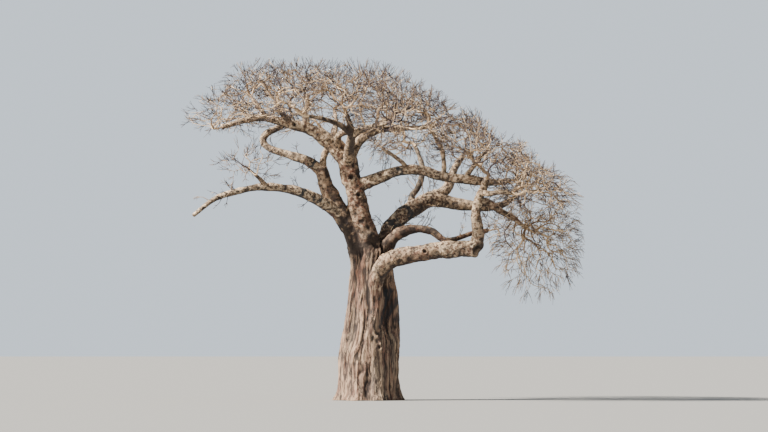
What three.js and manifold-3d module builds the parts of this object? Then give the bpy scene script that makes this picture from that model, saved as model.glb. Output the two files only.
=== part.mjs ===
// A bare, deciduous bottle-trunked tree, whole and rooted in level ground.
// Built in millimetres, +Z up, with the origin in the middle of the flat cut under the trunk.
// The trunk, each bough and each mass of twigs is a closed solid of its own.

import * as THREE from 'three';
import { mergeVertices } from 'three/addons/utils/BufferGeometryUtils.js';
import Module from 'manifold-3d';

const wasm = await Module();
wasm.setup();

const METRE = 1000;
const CLEARANCE = 0.3;

// Trunk, in metres: height, centre X, centre Y and radius of each station up to the fork
const TRUNK_STATIONS = [
  [0, -0.1, 0, 1.52],
  [0.35, -0.11, 0, 1.38],
  [1.0, -0.13, 0, 1.28],
  [2.1, -0.12, 0, 1.24],
  [3.3, 0.04, 0, 1.16],
  [4.6, 0.08, 0.02, 1.04],
  [5.6, 0.0, 0.05, 0.92],
  [6.2, 0.0, 0.1, 0.8],
  [6.6, 0.03, 0.12, 0.6],
  [6.85, 0.05, 0.14, 0.3],
];
const TRUNK_SIDES = 32;
const RIBS = [
  { count: 4, turn: 0.6, depth: 0.022, flare: 0.03, fade: 0.9 },
  { count: 7, turn: 2.1, depth: 0.028, flare: 0.045, fade: 0.8 },
];
const HOLLOW = { angle: -0.75, width: 0.4, height: 4.25, rise: 1.15, depth: 0.2 };

// Boughs, in metres. A route is the centre line after the place where the bough leaves its
// carrier, which is a share of the carrier's length. A bough that leaves the trunk starts
// inside it. Thick is the diameter, from the foot to the end.
const BOUGHS = {
  centre_bough: {
    route: [[-0.1, 0.1, 5.9], [-0.26, 0.05, 7.05], [-0.48, 0, 7.85], [-0.66, 0, 8.6],
      [-0.8, 0, 9.4], [-1.0, 0, 10.2], [-1.2, 0, 10.85]],
    thick: [1.15, 0.86, 0.8, 0.84],
  },
  left_bough: {
    route: [[-0.35, 0.1, 6.0], [-0.76, 0.1, 7.2], [-1.24, 0.05, 8.05], [-1.7, 0, 8.8],
      [-2.05, -0.05, 9.55], [-2.26, -0.1, 10.25]],
    thick: [0.9, 0.76, 0.54],
  },
  right_rear_bough: {
    route: [[0.3, 0.25, 6.2], [0.68, 0.45, 7.2], [0.95, 0.7, 7.72], [1.32, 1.0, 8.12],
      [1.83, 1.4, 8.48], [2.42, 1.8, 8.84], [2.94, 2.1, 9.05]],
    thick: [0.74, 0.76, 0.64],
  },
  right_low_bough: {
    route: [[0.02, -0.75, 4.4], [0.16, -0.86, 5.2], [0.45, -1.0, 5.85], [1.0, -1.12, 6.2],
      [1.66, -1.25, 6.35], [2.45, -1.4, 6.48], [3.3, -1.5, 6.58], [4.1, -1.58, 6.64]],
    thick: [0.5, 0.74, 0.7, 0.68],
    ahead: { part: 'right_upright_bough', route: [[4.5, -1.6, 6.78], [4.63, -1.6, 7.2],
      [4.58, -1.58, 7.7], [4.53, -1.55, 8.15], [4.66, -1.5, 8.75], [4.88, -1.75, 9.3],
      [5.0, -2.2, 9.65]],
    thick: [0.62, 0.44, 0.38, 0.22] },
  },
  dipping_bough: {
    route: [[0.5, 0, 6.5], [0.92, -0.05, 7.1], [1.4, -0.15, 7.42], [2.1, -0.35, 7.52],
      [2.68, -0.5, 7.38], [3.15, -0.62, 7.03], [3.65, -0.62, 7.07], [4.4, -0.4, 7.33],
      [5.1, -0.3, 7.45]],
    thick: [0.6, 0.35, 0.24, 0.17],
  },
  rear_bough: {
    route: [[-0.15, 0.3, 6.2], [-0.36, 0.95, 7.25], [-0.58, 1.7, 8.25], [-0.72, 2.5, 9.2],
      [-0.95, 3.25, 10.15], [-1.3, 4.0, 11.0], [-1.75, 4.7, 11.7]],
    thick: [0.7, 0.5, 0.2],
  },
  left_low_bough: {
    carrier: 'left_bough', leaves: 0.5,
    route: [[-2.15, -0.4, 8.67], [-2.89, -0.8, 9.02], [-3.7, -1.25, 9.24], [-4.8, -1.7, 9.3],
      [-5.9, -2.1, 9.08], [-6.83, -2.4, 8.74], [-7.72, -2.7, 8.02]],
    thick: [0.54, 0.38, 0.27, 0.15],
  },
  left_low_riser: {
    carrier: 'left_low_bough', leaves: 0.52,
    route: [[-4.85, -1.95, 9.62], [-5.1, -2.1, 9.85]],
    thick: [0.19, 0.13],
  },
  left_hook_lower: {
    carrier: 'left_bough', leaves: 0.96,
    route: [[-2.8, -0.05, 10.5], [-3.43, 0.05, 10.72], [-4.05, 0.18, 10.92], [-4.5, 0.3, 11.08]],
    thick: [0.46, 0.34, 0.3],
    ahead: { part: 'left_hook_upper', route: [[-4.76, 0.38, 11.3], [-4.8, 0.45, 11.55],
      [-4.62, 0.55, 11.8], [-4.3, 0.8, 11.97], [-3.95, 1.15, 12.2], [-3.7, 1.6, 12.55]],
    thick: [0.3, 0.27, 0.18] },
  },
  left_thin_limb: {
    carrier: 'left_bough', leaves: 0.93,
    route: [[-2.14, 0.3, 10.66], [-1.95, 0.9, 11.2], [-1.7, 1.6, 11.8], [-1.62, 2.3, 12.4],
      [-1.68, 2.8, 12.85]],
    thick: [0.28, 0.16],
  },
  top_left_bough: {
    carrier: 'centre_bough', leaves: 0.95,
    route: [[-1.76, -0.05, 11.27], [-2.33, -0.2, 11.7], [-3.03, -0.4, 12.0], [-3.68, -0.6, 12.13],
      [-4.29, -0.8, 12.29], [-4.89, -1, 12.37], [-5.5, -1.2, 12.26], [-6.1, -1.4, 12.06],
      [-6.6, -1.5, 11.92]],
    thick: [0.84, 0.56, 0.36, 0.26, 0.16],
  },
  top_left_riser: {
    carrier: 'top_left_bough', leaves: 0.66,
    route: [[-4.87, -1, 12.72], [-5.07, -0.95, 13.0], [-5.25, -0.85, 13.25]],
    thick: [0.2, 0.14],
  },
  high_left_riser: {
    carrier: 'top_left_bough', leaves: 0.35,
    route: [[-2.96, -0.45, 12.6], [-2.82, -0.5, 13.0], [-2.89, -0.5, 13.35]],
    thick: [0.24, 0.14],
  },
  front_left_riser: {
    carrier: 'top_left_bough', leaves: 0.48,
    route: [[-3.97, -1.2, 12.6], [-4.17, -1.85, 12.9], [-4.1, -2.45, 13.1]],
    thick: [0.26, 0.14],
  },
  back_left_limb: {
    carrier: 'top_left_bough', leaves: 0.58,
    route: [[-4.83, -0.2, 12.39], [-5.26, 0.6, 12.49], [-5.64, 1.25, 12.66]],
    thick: [0.24, 0.14],
  },
  pale_cross_limb: {
    carrier: 'top_left_bough', leaves: 0.08,
    route: [[-1.46, -0.75, 11.6], [-0.96, -0.98, 11.78], [-0.48, -1.1, 11.78], [-0.05, -1.3, 11.95]],
    thick: [0.3, 0.25, 0.16],
  },
  top_right_limb: {
    carrier: 'centre_bough', leaves: 0.93,
    route: [[-0.86, -0.2, 11.0], [-0.6, -0.3, 11.4], [-0.22, -0.3, 11.72], [0.31, -0.2, 12.09],
      [0.85, 0.05, 12.5]],
    thick: [0.5, 0.4, 0.2],
  },
  top_right_outer: {
    carrier: 'top_right_limb', leaves: 0.52,
    route: [[0.45, 0.1, 11.92], [1.3, 0.5, 12.0], [2.2, 0.85, 12.05], [2.9, 1.1, 12.2]],
    thick: [0.3, 0.16],
  },
  front_limb: {
    carrier: 'centre_bough', leaves: 0.9,
    route: [[-1.0, -0.9, 11.0], [-0.9, -1.8, 11.4], [-0.94, -2.8, 11.92], [-1.1, -3.5, 12.35]],
    thick: [0.46, 0.36, 0.18],
  },
  front_left_limb: {
    carrier: 'front_limb', leaves: 0.62,
    route: [[-1.37, -3.3, 11.9], [-2.0, -4.1, 12.1], [-2.7, -4.7, 12.2]],
    thick: [0.26, 0.15],
  },
  front_right_limb: {
    carrier: 'front_limb', leaves: 0.55,
    route: [[-0.42, -2.9, 11.74], [0.1, -3.5, 11.85], [0.66, -4.0, 11.95]],
    thick: [0.26, 0.15],
  },
  right_middle_bough: {
    carrier: 'centre_bough', leaves: 0.7,
    route: [[0.0, -0.12, 9.65], [0.53, -0.25, 9.84], [1.01, -0.35, 10.02], [1.58, -0.4, 10.12],
      [2.19, -0.45, 10.08], [2.85, -0.5, 9.88], [3.55, -0.5, 9.74], [4.21, -0.45, 9.69],
      [4.83, -0.3, 9.62], [5.5, -0.05, 9.58], [6.1, 0.2, 9.68]],
    thick: [0.56, 0.44, 0.42, 0.4, 0.22],
  },
  middle_spur: {
    carrier: 'right_middle_bough', leaves: 0.35,
    route: [[1.36, -0.62, 10.4], [0.98, -0.9, 10.68], [0.64, -1.1, 10.92]],
    thick: [0.18, 0.12],
  },
  middle_riser: {
    carrier: 'right_middle_bough', leaves: 0.57,
    route: [[3.16, -0.6, 10.35], [3.06, -0.85, 10.96], [2.8, -1.2, 11.45], [2.6, -1.5, 11.75]],
    thick: [0.2, 0.13],
  },
  outer_riser: {
    carrier: 'right_middle_bough', leaves: 0.7,
    route: [[4.38, -0.6, 10.15], [4.7, -0.8, 10.55], [4.95, -1.0, 10.9]],
    thick: [0.2, 0.13],
  },
  rear_riser: {
    carrier: 'right_rear_bough', leaves: 0.9,
    route: [[3.22, 2.3, 9.28], [3.48, 2.65, 9.7], [3.62, 3.0, 10.15], [3.85, 3.35, 10.6],
      [4.1, 3.7, 10.95]],
    thick: [0.48, 0.36, 0.18],
  },
  rear_low_limb: {
    carrier: 'right_rear_bough', leaves: 0.94,
    route: [[3.4, 2.1, 8.8], [4.01, 2.05, 8.68], [4.62, 1.95, 8.62], [5.25, 2.0, 8.56],
      [5.85, 2.4, 8.7], [6.3, 2.9, 9.0]],
    thick: [0.54, 0.46, 0.32, 0.17],
  },
  dark_upright_limb: {
    carrier: 'right_rear_bough', leaves: 0.64,
    route: [[1.76, 1.65, 9.02], [2.0, 2.1, 9.37], [2.18, 2.6, 9.8], [2.26, 3.2, 10.36],
      [2.12, 3.9, 10.95], [1.95, 4.5, 11.4]],
    thick: [0.28, 0.24, 0.15],
  },
  right_hanging_limb: {
    carrier: 'right_upright_bough', leaves: 0.62,
    route: [[5.0, -1.4, 8.66], [5.55, -1.1, 8.32], [6.15, -0.85, 8.0], [6.5, -0.7, 7.75]],
    thick: [0.3, 0.26, 0.18],
  },
  right_outer_limb: {
    carrier: 'right_upright_bough', leaves: 0.76,
    route: [[5.15, -2.05, 9.0], [5.6, -2.55, 9.05], [6.1, -2.9, 8.95]],
    thick: [0.26, 0.15],
  },
};
const FOOT_SWELL = { share: 0.32, run: 1.4, carrierShare: 0.96 };
const THICK_SIDES = 10;
const THIN_SIDES = 7;
const THIN_BELOW = 0.36;
const RING_STEP = { least: 0.52, perThickness: 0.85 };

// Masses of twigs, in metres: the bough whose end each grows from, and the middle and
// half sizes of the rounded space that it fills
const TWIG_MASSES = {
  far_left_twigs: { bough: 'top_left_bough', middle: [-7.0, -1.6, 12.55], half: [1.5, 1.7, 1.2] },
  left_top_twigs: { bough: 'top_left_riser', middle: [-5.6, -0.7, 13.8], half: [1.7, 1.5, 1.25] },
  left_back_twigs: { bough: 'back_left_limb', middle: [-6.1, 2.4, 12.9], half: [1.9, 1.9, 1.4] },
  left_front_twigs: { bough: 'front_left_riser', middle: [-4.6, -3.6, 13.0], half: [2.0, 1.8, 1.4] },
  high_left_twigs: { bough: 'high_left_riser', middle: [-2.9, -0.6, 14.05], half: [1.8, 1.8, 1.35] },
  hook_twigs: { bough: 'left_hook_upper', middle: [-3.7, 2.5, 13.5], half: [1.9, 1.7, 1.4] },
  high_back_twigs: { bough: 'left_thin_limb', middle: [-1.2, 3.0, 13.7], half: [1.7, 1.7, 1.3] },
  rear_left_twigs: { bough: 'rear_bough', middle: [-2.4, 5.6, 12.2], half: [2.3, 1.8, 1.5] },
  rear_right_twigs: { bough: 'dark_upright_limb', middle: [1.5, 5.5, 12.1], half: [2.2, 1.9, 1.5] },
  far_rear_twigs: { bough: 'rear_riser', middle: [4.8, 4.3, 11.4], half: [2.0, 1.9, 1.4] },
  right_back_twigs: { bough: 'rear_low_limb', middle: [7.1, 3.5, 9.6], half: [1.9, 1.9, 1.6] },
  right_end_twigs: { bough: 'right_middle_bough', middle: [7.4, 0.5, 10.0], half: [1.7, 1.7, 1.5] },
  right_outer_twigs: { bough: 'right_outer_limb', middle: [7.2, -3.0, 9.2], half: [1.8, 1.9, 1.6] },
  right_front_twigs: { bough: 'right_upright_bough', middle: [4.9, -3.3, 10.7], half: [2.1, 2.1, 1.5] },
  outer_top_twigs: { bough: 'outer_riser', middle: [5.2, -0.9, 11.6], half: [1.7, 1.6, 1.2] },
  right_top_twigs: { bough: 'top_right_outer', middle: [3.7, 1.4, 12.5], half: [1.9, 1.9, 1.2] },
  middle_top_twigs: { bough: 'middle_riser', middle: [2.6, -1.9, 12.5], half: [1.7, 1.6, 1.2] },
  centre_top_twigs: { bough: 'top_right_limb', middle: [1.0, 0.9, 13.6], half: [1.9, 1.8, 1.3] },
  centre_front_twigs: { bough: 'pale_cross_limb', middle: [-0.2, -2.0, 13.4], half: [1.7, 1.5, 1.35] },
  front_top_twigs: { bough: 'front_limb', middle: [-1.5, -4.4, 13.0], half: [1.7, 1.8, 1.4] },
  front_left_twigs: { bough: 'front_left_limb', middle: [-3.6, -5.8, 12.2], half: [1.9, 1.6, 1.5] },
  front_right_twigs: { bough: 'front_right_limb', middle: [1.4, -4.9, 12.1], half: [2.0, 1.8, 1.5] },
  middle_spur_twigs: { bough: 'middle_spur', middle: [0.75, -1.35, 11.0], half: [0.9, 0.9, 0.7] },
  low_left_twigs: { bough: 'left_low_riser', middle: [-5.3, -2.4, 10.2], half: [1.4, 1.3, 0.9] },
  hanging_twigs: { bough: 'right_hanging_limb', middle: [7.4, -0.5, 6.7], half: [2.0, 2.0, 2.2] },
  low_right_twigs: { bough: 'dipping_bough', middle: [5.7, -0.1, 7.3], half: [0.9, 1.0, 0.8] },
};
// Height of the top of the crown, in metres, over places from left to right, and how it
// falls away to the front and the back
const CROWN_TOP = [
  [-8.3, 12.9], [-7.4, 13.7], [-6.1, 14.7], [-3.5, 15.3], [-0.5, 15.0], [1.2, 14.6],
  [3.0, 13.4], [4.8, 12.4], [6.6, 11.4], [8.1, 10.2], [9.2, 8.2],
];
const CROWN_FALL = 0.045;
// Twigs, in metres: the length of the stem and the radius at a tip, the room kept at the
// edge of a mass and round a bough, and the rule by which they spread
const TWIG = { stem: 0.3, tip: 0.034, apart: 0.07, boughRoom: 0.1 };
const GROWTH = { goals: 20, tries: 160, outward: 0.28, wayShare: 0.35, choices: 3, thickening: 0.4 };
const CHECKED_SHARES = [0.15, 0.4, 0.7, 1];

const COLOURS = { trunk: 0x8c7565, boughs: 0xa08a72, twigs: 0x9a8878 };

const STEEP = 0.8;

const scaled = (point) => new THREE.Vector3(...point).multiplyScalar(METRE);

// A closed skin over rings of points, with a fan or one triangle at each end
function skin(rings) {
  const sides = rings[0].length;
  const points = rings.flat();
  const faces = [];
  for (let ring = 0; ring + 1 < rings.length; ring += 1) {
    for (let side = 0; side < sides; side += 1) {
      const a = ring * sides + side;
      const b = ring * sides + ((side + 1) % sides);
      faces.push(a, b, b + sides, a, b + sides, a + sides);
    }
  }
  const closeEnd = (first, ring, flipped) => {
    if (sides === 3) {
      faces.push(...(flipped ? [first, first + 2, first + 1] : [first, first + 1, first + 2]));
      return;
    }
    const middle = points.length;
    points.push(ring.reduce((sum, p) => sum.add(p), new THREE.Vector3()).divideScalar(sides));
    for (let side = 0; side < sides; side += 1) {
      const here = first + side;
      const next = first + ((side + 1) % sides);
      faces.push(middle, flipped ? next : here, flipped ? here : next);
    }
  };
  closeEnd(0, rings[0], true);
  closeEnd((rings.length - 1) * sides, rings.at(-1), false);
  const geometry = new THREE.BufferGeometry().setFromPoints(points);
  geometry.setIndex(faces);
  return geometry;
}

// A solid that manifold-3d can cut and join, and the way back to a geometry
function toSolid(geometry) {
  const bare = geometry.clone();
  bare.deleteAttribute('normal');
  bare.deleteAttribute('uv');
  const merged = mergeVertices(bare);
  return new wasm.Manifold(new wasm.Mesh({
    numProp: 3,
    vertProperties: new Float32Array(merged.attributes.position.array),
    triVerts: new Uint32Array(merged.index.array),
  }));
}

function toGeometry(solid) {
  const mesh = solid.getMesh();
  const geometry = new THREE.BufferGeometry();
  geometry.setAttribute('position', new THREE.BufferAttribute(mesh.vertProperties, 3));
  geometry.setIndex(new THREE.BufferAttribute(mesh.triVerts, 1));
  geometry.computeVertexNormals();
  return geometry;
}

const largestBody = (solid) => solid.decompose().sort((a, b) => b.volume() - a.volume())[0];

// Values along a list by share of its length, with straight lines between
function along(values, share) {
  const place = Math.min(Math.max(share, 0), 1) * (values.length - 1);
  const step = Math.min(Math.floor(place), values.length - 2);
  return THREE.MathUtils.lerp(values[step], values[step + 1], place - step);
}

function between(table, x) {
  if (x <= table[0][0]) return table[0][1];
  for (let row = 1; row < table.length; row += 1) {
    const [x0, z0] = table[row - 1];
    const [x1, z1] = table[row];
    if (x <= x1) return THREE.MathUtils.lerp(z0, z1, (x - x0) / (x1 - x0));
  }
  return table.at(-1)[1];
}

// Rings square to a line of points, turned as little as possible from one to the next
function ringsAlong(line, radii, sides) {
  const across = new THREE.Vector3();
  const before = new THREE.Vector3();
  return line.map((point, index) => {
    const ahead = line[Math.min(index + 1, line.length - 1)];
    const behind = line[Math.max(index - 1, 0)];
    const forward = ahead.clone().sub(behind).normalize();
    if (index === 0) {
      const steep = Math.abs(forward.z) > STEEP;
      across.crossVectors(new THREE.Vector3(0, steep ? 1 : 0, steep ? 0 : 1), forward).normalize();
    } else {
      across.applyQuaternion(new THREE.Quaternion().setFromUnitVectors(before, forward));
      across.addScaledVector(forward, -across.dot(forward)).normalize();
    }
    before.copy(forward);
    const upward = new THREE.Vector3().crossVectors(forward, across);
    return Array.from({ length: sides }, (_, side) => {
      const angle = (side / sides) * 2 * Math.PI;
      return point.clone()
        .addScaledVector(across, radii[index] * Math.cos(angle))
        .addScaledVector(upward, radii[index] * Math.sin(angle));
    });
  });
}

// The trunk: ribs that spread into root buttresses at the foot, and a shallow hollow
// in the flank under the low right bough
function trunkRings(extra) {
  return TRUNK_STATIONS.map(([height, x, y, radius], station) => {
    const level = height + (station === TRUNK_STATIONS.length - 1 ? extra / METRE : 0);
    return Array.from({ length: TRUNK_SIDES }, (_, side) => {
      const angle = (side / TRUNK_SIDES) * 2 * Math.PI;
      const rib = RIBS.reduce((sum, { count, turn, depth, flare, fade }) => {
        const deep = depth + flare * Math.exp(-height / fade);
        return sum + deep * Math.cos(count * angle + turn);
      }, 0);
      const turned = Math.atan2(Math.sin(angle - HOLLOW.angle), Math.cos(angle - HOLLOW.angle));
      const hollow = HOLLOW.depth
        * Math.exp(-((turned / HOLLOW.width) ** 2) - ((height - HOLLOW.height) / HOLLOW.rise) ** 2);
      const reach = radius * (1 + rib - hollow) + extra / METRE;
      return scaled([x + reach * Math.cos(angle), y + reach * Math.sin(angle), level]);
    });
  });
}

// A bough's centre line with evenly spaced points, and its radius at each of them
function boughLine(route, thick, widest) {
  const curve = new THREE.CatmullRomCurve3(route, false, 'catmullrom', 0.5);
  const length = curve.getLength();
  const step = METRE * Math.max(RING_STEP.least, RING_STEP.perThickness * Math.min(...thick));
  const count = Math.max(Math.round(length / step), 2);
  const line = curve.getSpacedPoints(count);
  const radii = line.map((_, index) => {
    const share = index / count;
    const foot = (METRE * thick[0]) / 2;
    const swell = FOOT_SWELL.share * Math.exp(-(share * length) / (FOOT_SWELL.run * foot));
    const bare = (METRE * along(thick, share)) / 2;
    return Math.max(bare, Math.min(bare * (1 + swell), widest));
  });
  return { line, radii, curve };
}

function boughRings({ line, radii, sides }, extra) {
  const ends = line.map((point) => point.clone());
  if (extra > 0) {
    const onward = ends.at(-1).clone().sub(ends.at(-2)).normalize();
    const backward = ends[0].clone().sub(ends[1]).normalize();
    ends.at(-1).addScaledVector(onward, extra);
    ends[0].addScaledVector(backward, extra);
  }
  return ringsAlong(ends, radii.map((radius) => radius + extra), sides);
}

function layOutBoughs() {
  const laid = {};
  for (const [name, { carrier, leaves, route, thick, ahead }] of Object.entries(BOUGHS)) {
    const points = route.map(scaled);
    let widest = METRE * thick[0];
    if (carrier) {
      points.unshift(laid[carrier].curve.getPointAt(leaves));
      widest = along(laid[carrier].radii, leaves) * FOOT_SWELL.carrierShare;
    }
    const sides = thick[0] < THIN_BELOW ? THIN_SIDES : THICK_SIDES;
    laid[name] = { ...boughLine(points, thick, widest), sides };
    if (ahead) {
      const { line } = laid[name];
      const forward = line.at(-1).clone().sub(line.at(-2)).normalize();
      const start = line.at(-1).clone().addScaledVector(forward, CLEARANCE);
      const onward = [start, ...ahead.route.map(scaled)];
      laid[ahead.part] = { ...boughLine(onward, ahead.thick, 0), sides };
    }
  }
  return laid;
}

// The distance from a point to a bough's skin, taken between its rings
function distanceToBough(point, { line, radii }) {
  let least = Infinity;
  const stretch = new THREE.Line3();
  const nearest = new THREE.Vector3();
  for (let index = 0; index + 1 < line.length; index += 1) {
    stretch.set(line[index], line[index + 1]);
    const share = stretch.closestPointToPointParameter(point, true);
    stretch.at(share, nearest);
    const radius = THREE.MathUtils.lerp(radii[index], radii[index + 1], share);
    least = Math.min(least, nearest.distanceTo(point) - radius);
  }
  return least;
}

// One number of an even, repeatable scatter
function scatter(index, base) {
  let share = 1;
  let value = 0;
  for (let rest = index; rest > 0; rest = Math.floor(rest / base)) {
    share /= base;
    value += share * (rest % base);
  }
  return value;
}

// How far inside its mass's own space a point is, in metres
function roomIn(name, point) {
  const here = TWIG_MASSES[name];
  const { middle, half } = here;
  const away = (mass) => {
    const square = point.reduce((sum, value, axis) => sum + (value - mass.middle[axis]) ** 2, 0);
    return square - mass.half[0] * mass.half[2];
  };
  const round = Math.hypot(...point.map((value, axis) => (value - middle[axis]) / half[axis]));
  let room = (1 - round) * Math.min(...half);
  room = Math.min(room, between(CROWN_TOP, point[0]) - CROWN_FALL * point[1] ** 2 - point[2]);
  for (const other of Object.values(TWIG_MASSES)) {
    if (other !== here) {
      const gap = Math.hypot(...other.middle.map((value, axis) => value - middle[axis]));
      room = Math.min(room, (away(other) - away(here)) / (2 * gap));
    }
  }
  return room;
}

// Twigs grow from one stem to scattered points, nearest first. Each point joins the twig
// work where the way to it, with a share of the way back to the stem, is shortest, and is
// skipped where its twig would leave the mass's space or touch a bough.
function growTwigs(name, boughs, seed) {
  const { bough, middle, half } = TWIG_MASSES[name];
  const { line } = boughs[bough];
  const forward = line.at(-1).clone().sub(line.at(-2)).normalize();
  const foot = line.at(-1).clone().addScaledVector(forward, CLEARANCE);
  const stemEnd = foot.clone().addScaledVector(forward, TWIG.stem * METRE);
  const knots = [{ at: foot, way: 0 }, { at: stemEnd, way: TWIG.stem * METRE, from: 0 }];
  const goals = [];
  for (let index = seed + 1; index <= seed + GROWTH.tries && goals.length < GROWTH.goals; index += 1) {
    const out = scatter(index, 2) ** GROWTH.outward;
    const level = scatter(index, 3) * 2 - 1;
    const turn = scatter(index, 5) * 2 * Math.PI;
    const flat = Math.sqrt(1 - level ** 2);
    const offset = [flat * Math.cos(turn), flat * Math.sin(turn), level];
    const goal = middle.map((value, axis) => value + half[axis] * out * offset[axis]);
    if (roomIn(name, goal) > TWIG.apart) goals.push(scaled(goal));
  }
  goals.sort((a, b) => a.distanceTo(stemEnd) - b.distanceTo(stemEnd));
  const nearBoughs = Object.values(boughs);
  const isClear = (start, end) => CHECKED_SHARES.every((share) => {
    const point = start.clone().lerp(end, share);
    return roomIn(name, point.toArray().map((value) => value / METRE)) > TWIG.apart
      && nearBoughs.every((other) => distanceToBough(point, other) > TWIG.boughRoom * METRE);
  });
  for (const goal of goals) {
    const ways = knots
      .map((knot, from) => ({ from, cost: knot.at.distanceTo(goal) + GROWTH.wayShare * knot.way }))
      .slice(1)
      .sort((a, b) => a.cost - b.cost);
    const found = ways.slice(0, GROWTH.choices).find(({ from }) => isClear(knots[from].at, goal));
    if (found) {
      const way = knots[found.from].way + knots[found.from].at.distanceTo(goal);
      knots.push({ at: goal, way, from: found.from });
    }
  }
  return knots;
}

// The twigs that leave one after another from a knot: the longest carries on, and each
// of the others starts a twig of its own with its root sunk in the first
function twigRuns(knots) {
  const load = knots.map(() => 0);
  for (let index = knots.length - 1; index > 0; index -= 1) {
    load[index] = Math.max(load[index], 1);
    load[knots[index].from] += load[index];
  }
  const heirs = knots.map(() => []);
  knots.forEach((knot, index) => index > 0 && heirs[knot.from].push(index));
  heirs.forEach((list) => list.sort((a, b) => load[b] - load[a]));
  const runs = [];
  const follow = (first, next) => {
    const run = [first, next];
    while (heirs[run.at(-1)].length > 0) run.push(heirs[run.at(-1)][0]);
    runs.push(run);
  };
  heirs.forEach((list, index) => {
    list.slice(index === 0 ? 0 : 1).forEach((heir) => follow(index, heir));
  });
  return runs.map((run) => ({
    line: run.map((index) => knots[index].at),
    radii: run.map((_, step) => METRE * TWIG.tip * load[run[Math.max(step, 1)]] ** GROWTH.thickening),
  }));
}

function twigMass(name, boughs, seed) {
  const runs = twigRuns(growTwigs(name, boughs, seed));
  const solids = runs.map(({ line, radii }) => toSolid(skin(ringsAlong(line, radii, 3))));
  return largestBody(wasm.Manifold.union(solids));
}

function material(colour) {
  return new THREE.MeshStandardMaterial({ color: colour, roughness: 0.9, metalness: 0 });
}

const tree = new THREE.Group();

function addPart(name, solid, colour) {
  const mesh = new THREE.Mesh(toGeometry(solid), material(colour));
  mesh.name = name;
  tree.add(mesh);
}

function boxesMeet(a, b) {
  const first = a.boundingBox();
  const second = b.boundingBox();
  return [0, 1, 2].every((axis) => first.min[axis] < second.max[axis] && second.min[axis] < first.max[axis]);
}

addPart('trunk', toSolid(skin(trunkRings(0))), COLOURS.trunk);

// Each bough is cut clear of the trunk and of the boughs before it
const boughs = layOutBoughs();
const cutters = [toSolid(skin(trunkRings(CLEARANCE)))];
for (const [name, bough] of Object.entries(boughs)) {
  let solid = toSolid(skin(boughRings(bough, 0)));
  for (const cutter of cutters) {
    if (boxesMeet(solid, cutter)) solid = solid.subtract(cutter);
  }
  addPart(name, largestBody(solid), COLOURS.boughs);
  cutters.push(toSolid(skin(boughRings(bough, CLEARANCE))));
}

Object.keys(TWIG_MASSES).forEach((name, order) => {
  addPart(name, twigMass(name, boughs, order * GROWTH.tries), COLOURS.twigs);
});

export default tree;
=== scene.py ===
import math

import bpy
import bmesh
import numpy as np
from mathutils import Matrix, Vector


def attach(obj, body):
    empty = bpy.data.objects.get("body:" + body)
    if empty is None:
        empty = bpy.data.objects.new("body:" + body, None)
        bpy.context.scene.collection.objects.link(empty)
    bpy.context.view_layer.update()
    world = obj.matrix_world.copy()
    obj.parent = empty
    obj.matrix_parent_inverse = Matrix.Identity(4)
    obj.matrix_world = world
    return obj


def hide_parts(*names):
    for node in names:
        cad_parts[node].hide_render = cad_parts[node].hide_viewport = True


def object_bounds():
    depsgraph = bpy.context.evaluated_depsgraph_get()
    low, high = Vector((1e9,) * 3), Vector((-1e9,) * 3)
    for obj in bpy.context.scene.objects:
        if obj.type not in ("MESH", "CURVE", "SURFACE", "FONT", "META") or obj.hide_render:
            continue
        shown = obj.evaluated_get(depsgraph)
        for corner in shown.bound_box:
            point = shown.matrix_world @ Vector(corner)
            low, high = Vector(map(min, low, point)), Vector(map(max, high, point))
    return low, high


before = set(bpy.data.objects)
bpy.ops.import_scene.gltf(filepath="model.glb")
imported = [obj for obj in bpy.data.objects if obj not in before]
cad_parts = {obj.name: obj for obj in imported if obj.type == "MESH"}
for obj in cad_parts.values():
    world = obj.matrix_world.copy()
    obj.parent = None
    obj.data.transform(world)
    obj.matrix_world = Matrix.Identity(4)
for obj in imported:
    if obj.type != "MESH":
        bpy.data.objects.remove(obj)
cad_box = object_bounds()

# Trunk and main boughs
# The real tree is one body of living wood: a short thick trunk whose top breaks into heavy boughs.
# It grew together at every fork, so its runs are joined into one skin, whose crotches are drawn
# smooth and whose folds, wrinkles and knot holes are pressed into it.

# The trunk from its foot up: height, place and radius, all in metres
TRUNK_STATIONS = [
    (0, -0.1, 0, 1.52), (0.35, -0.11, 0, 1.38), (1.0, -0.13, 0, 1.28), (2.1, -0.12, 0, 1.24),
    (3.3, 0.04, 0, 1.16), (4.6, 0.08, 0.02, 1.04), (5.6, 0.0, 0.05, 0.92), (6.2, 0.0, 0.1, 0.8),
    (6.6, 0.03, 0.12, 0.6), (6.85, 0.05, 0.14, 0.3),
]
# Ribs round the trunk: how many, their turn, their depth, and their flare and its fade at the foot
RIBS = [(4, 0.6, 0.022, 0.03, 0.9), (7, 2.1, 0.028, 0.045, 0.8)]
# The deep hollow under the low right bough: the way that it faces, its middle, size and depth
HOLLOW = {"angle": -0.72, "width": 0.56, "height": 4.2, "rise": 1.3, "depth": 0.46}
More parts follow.
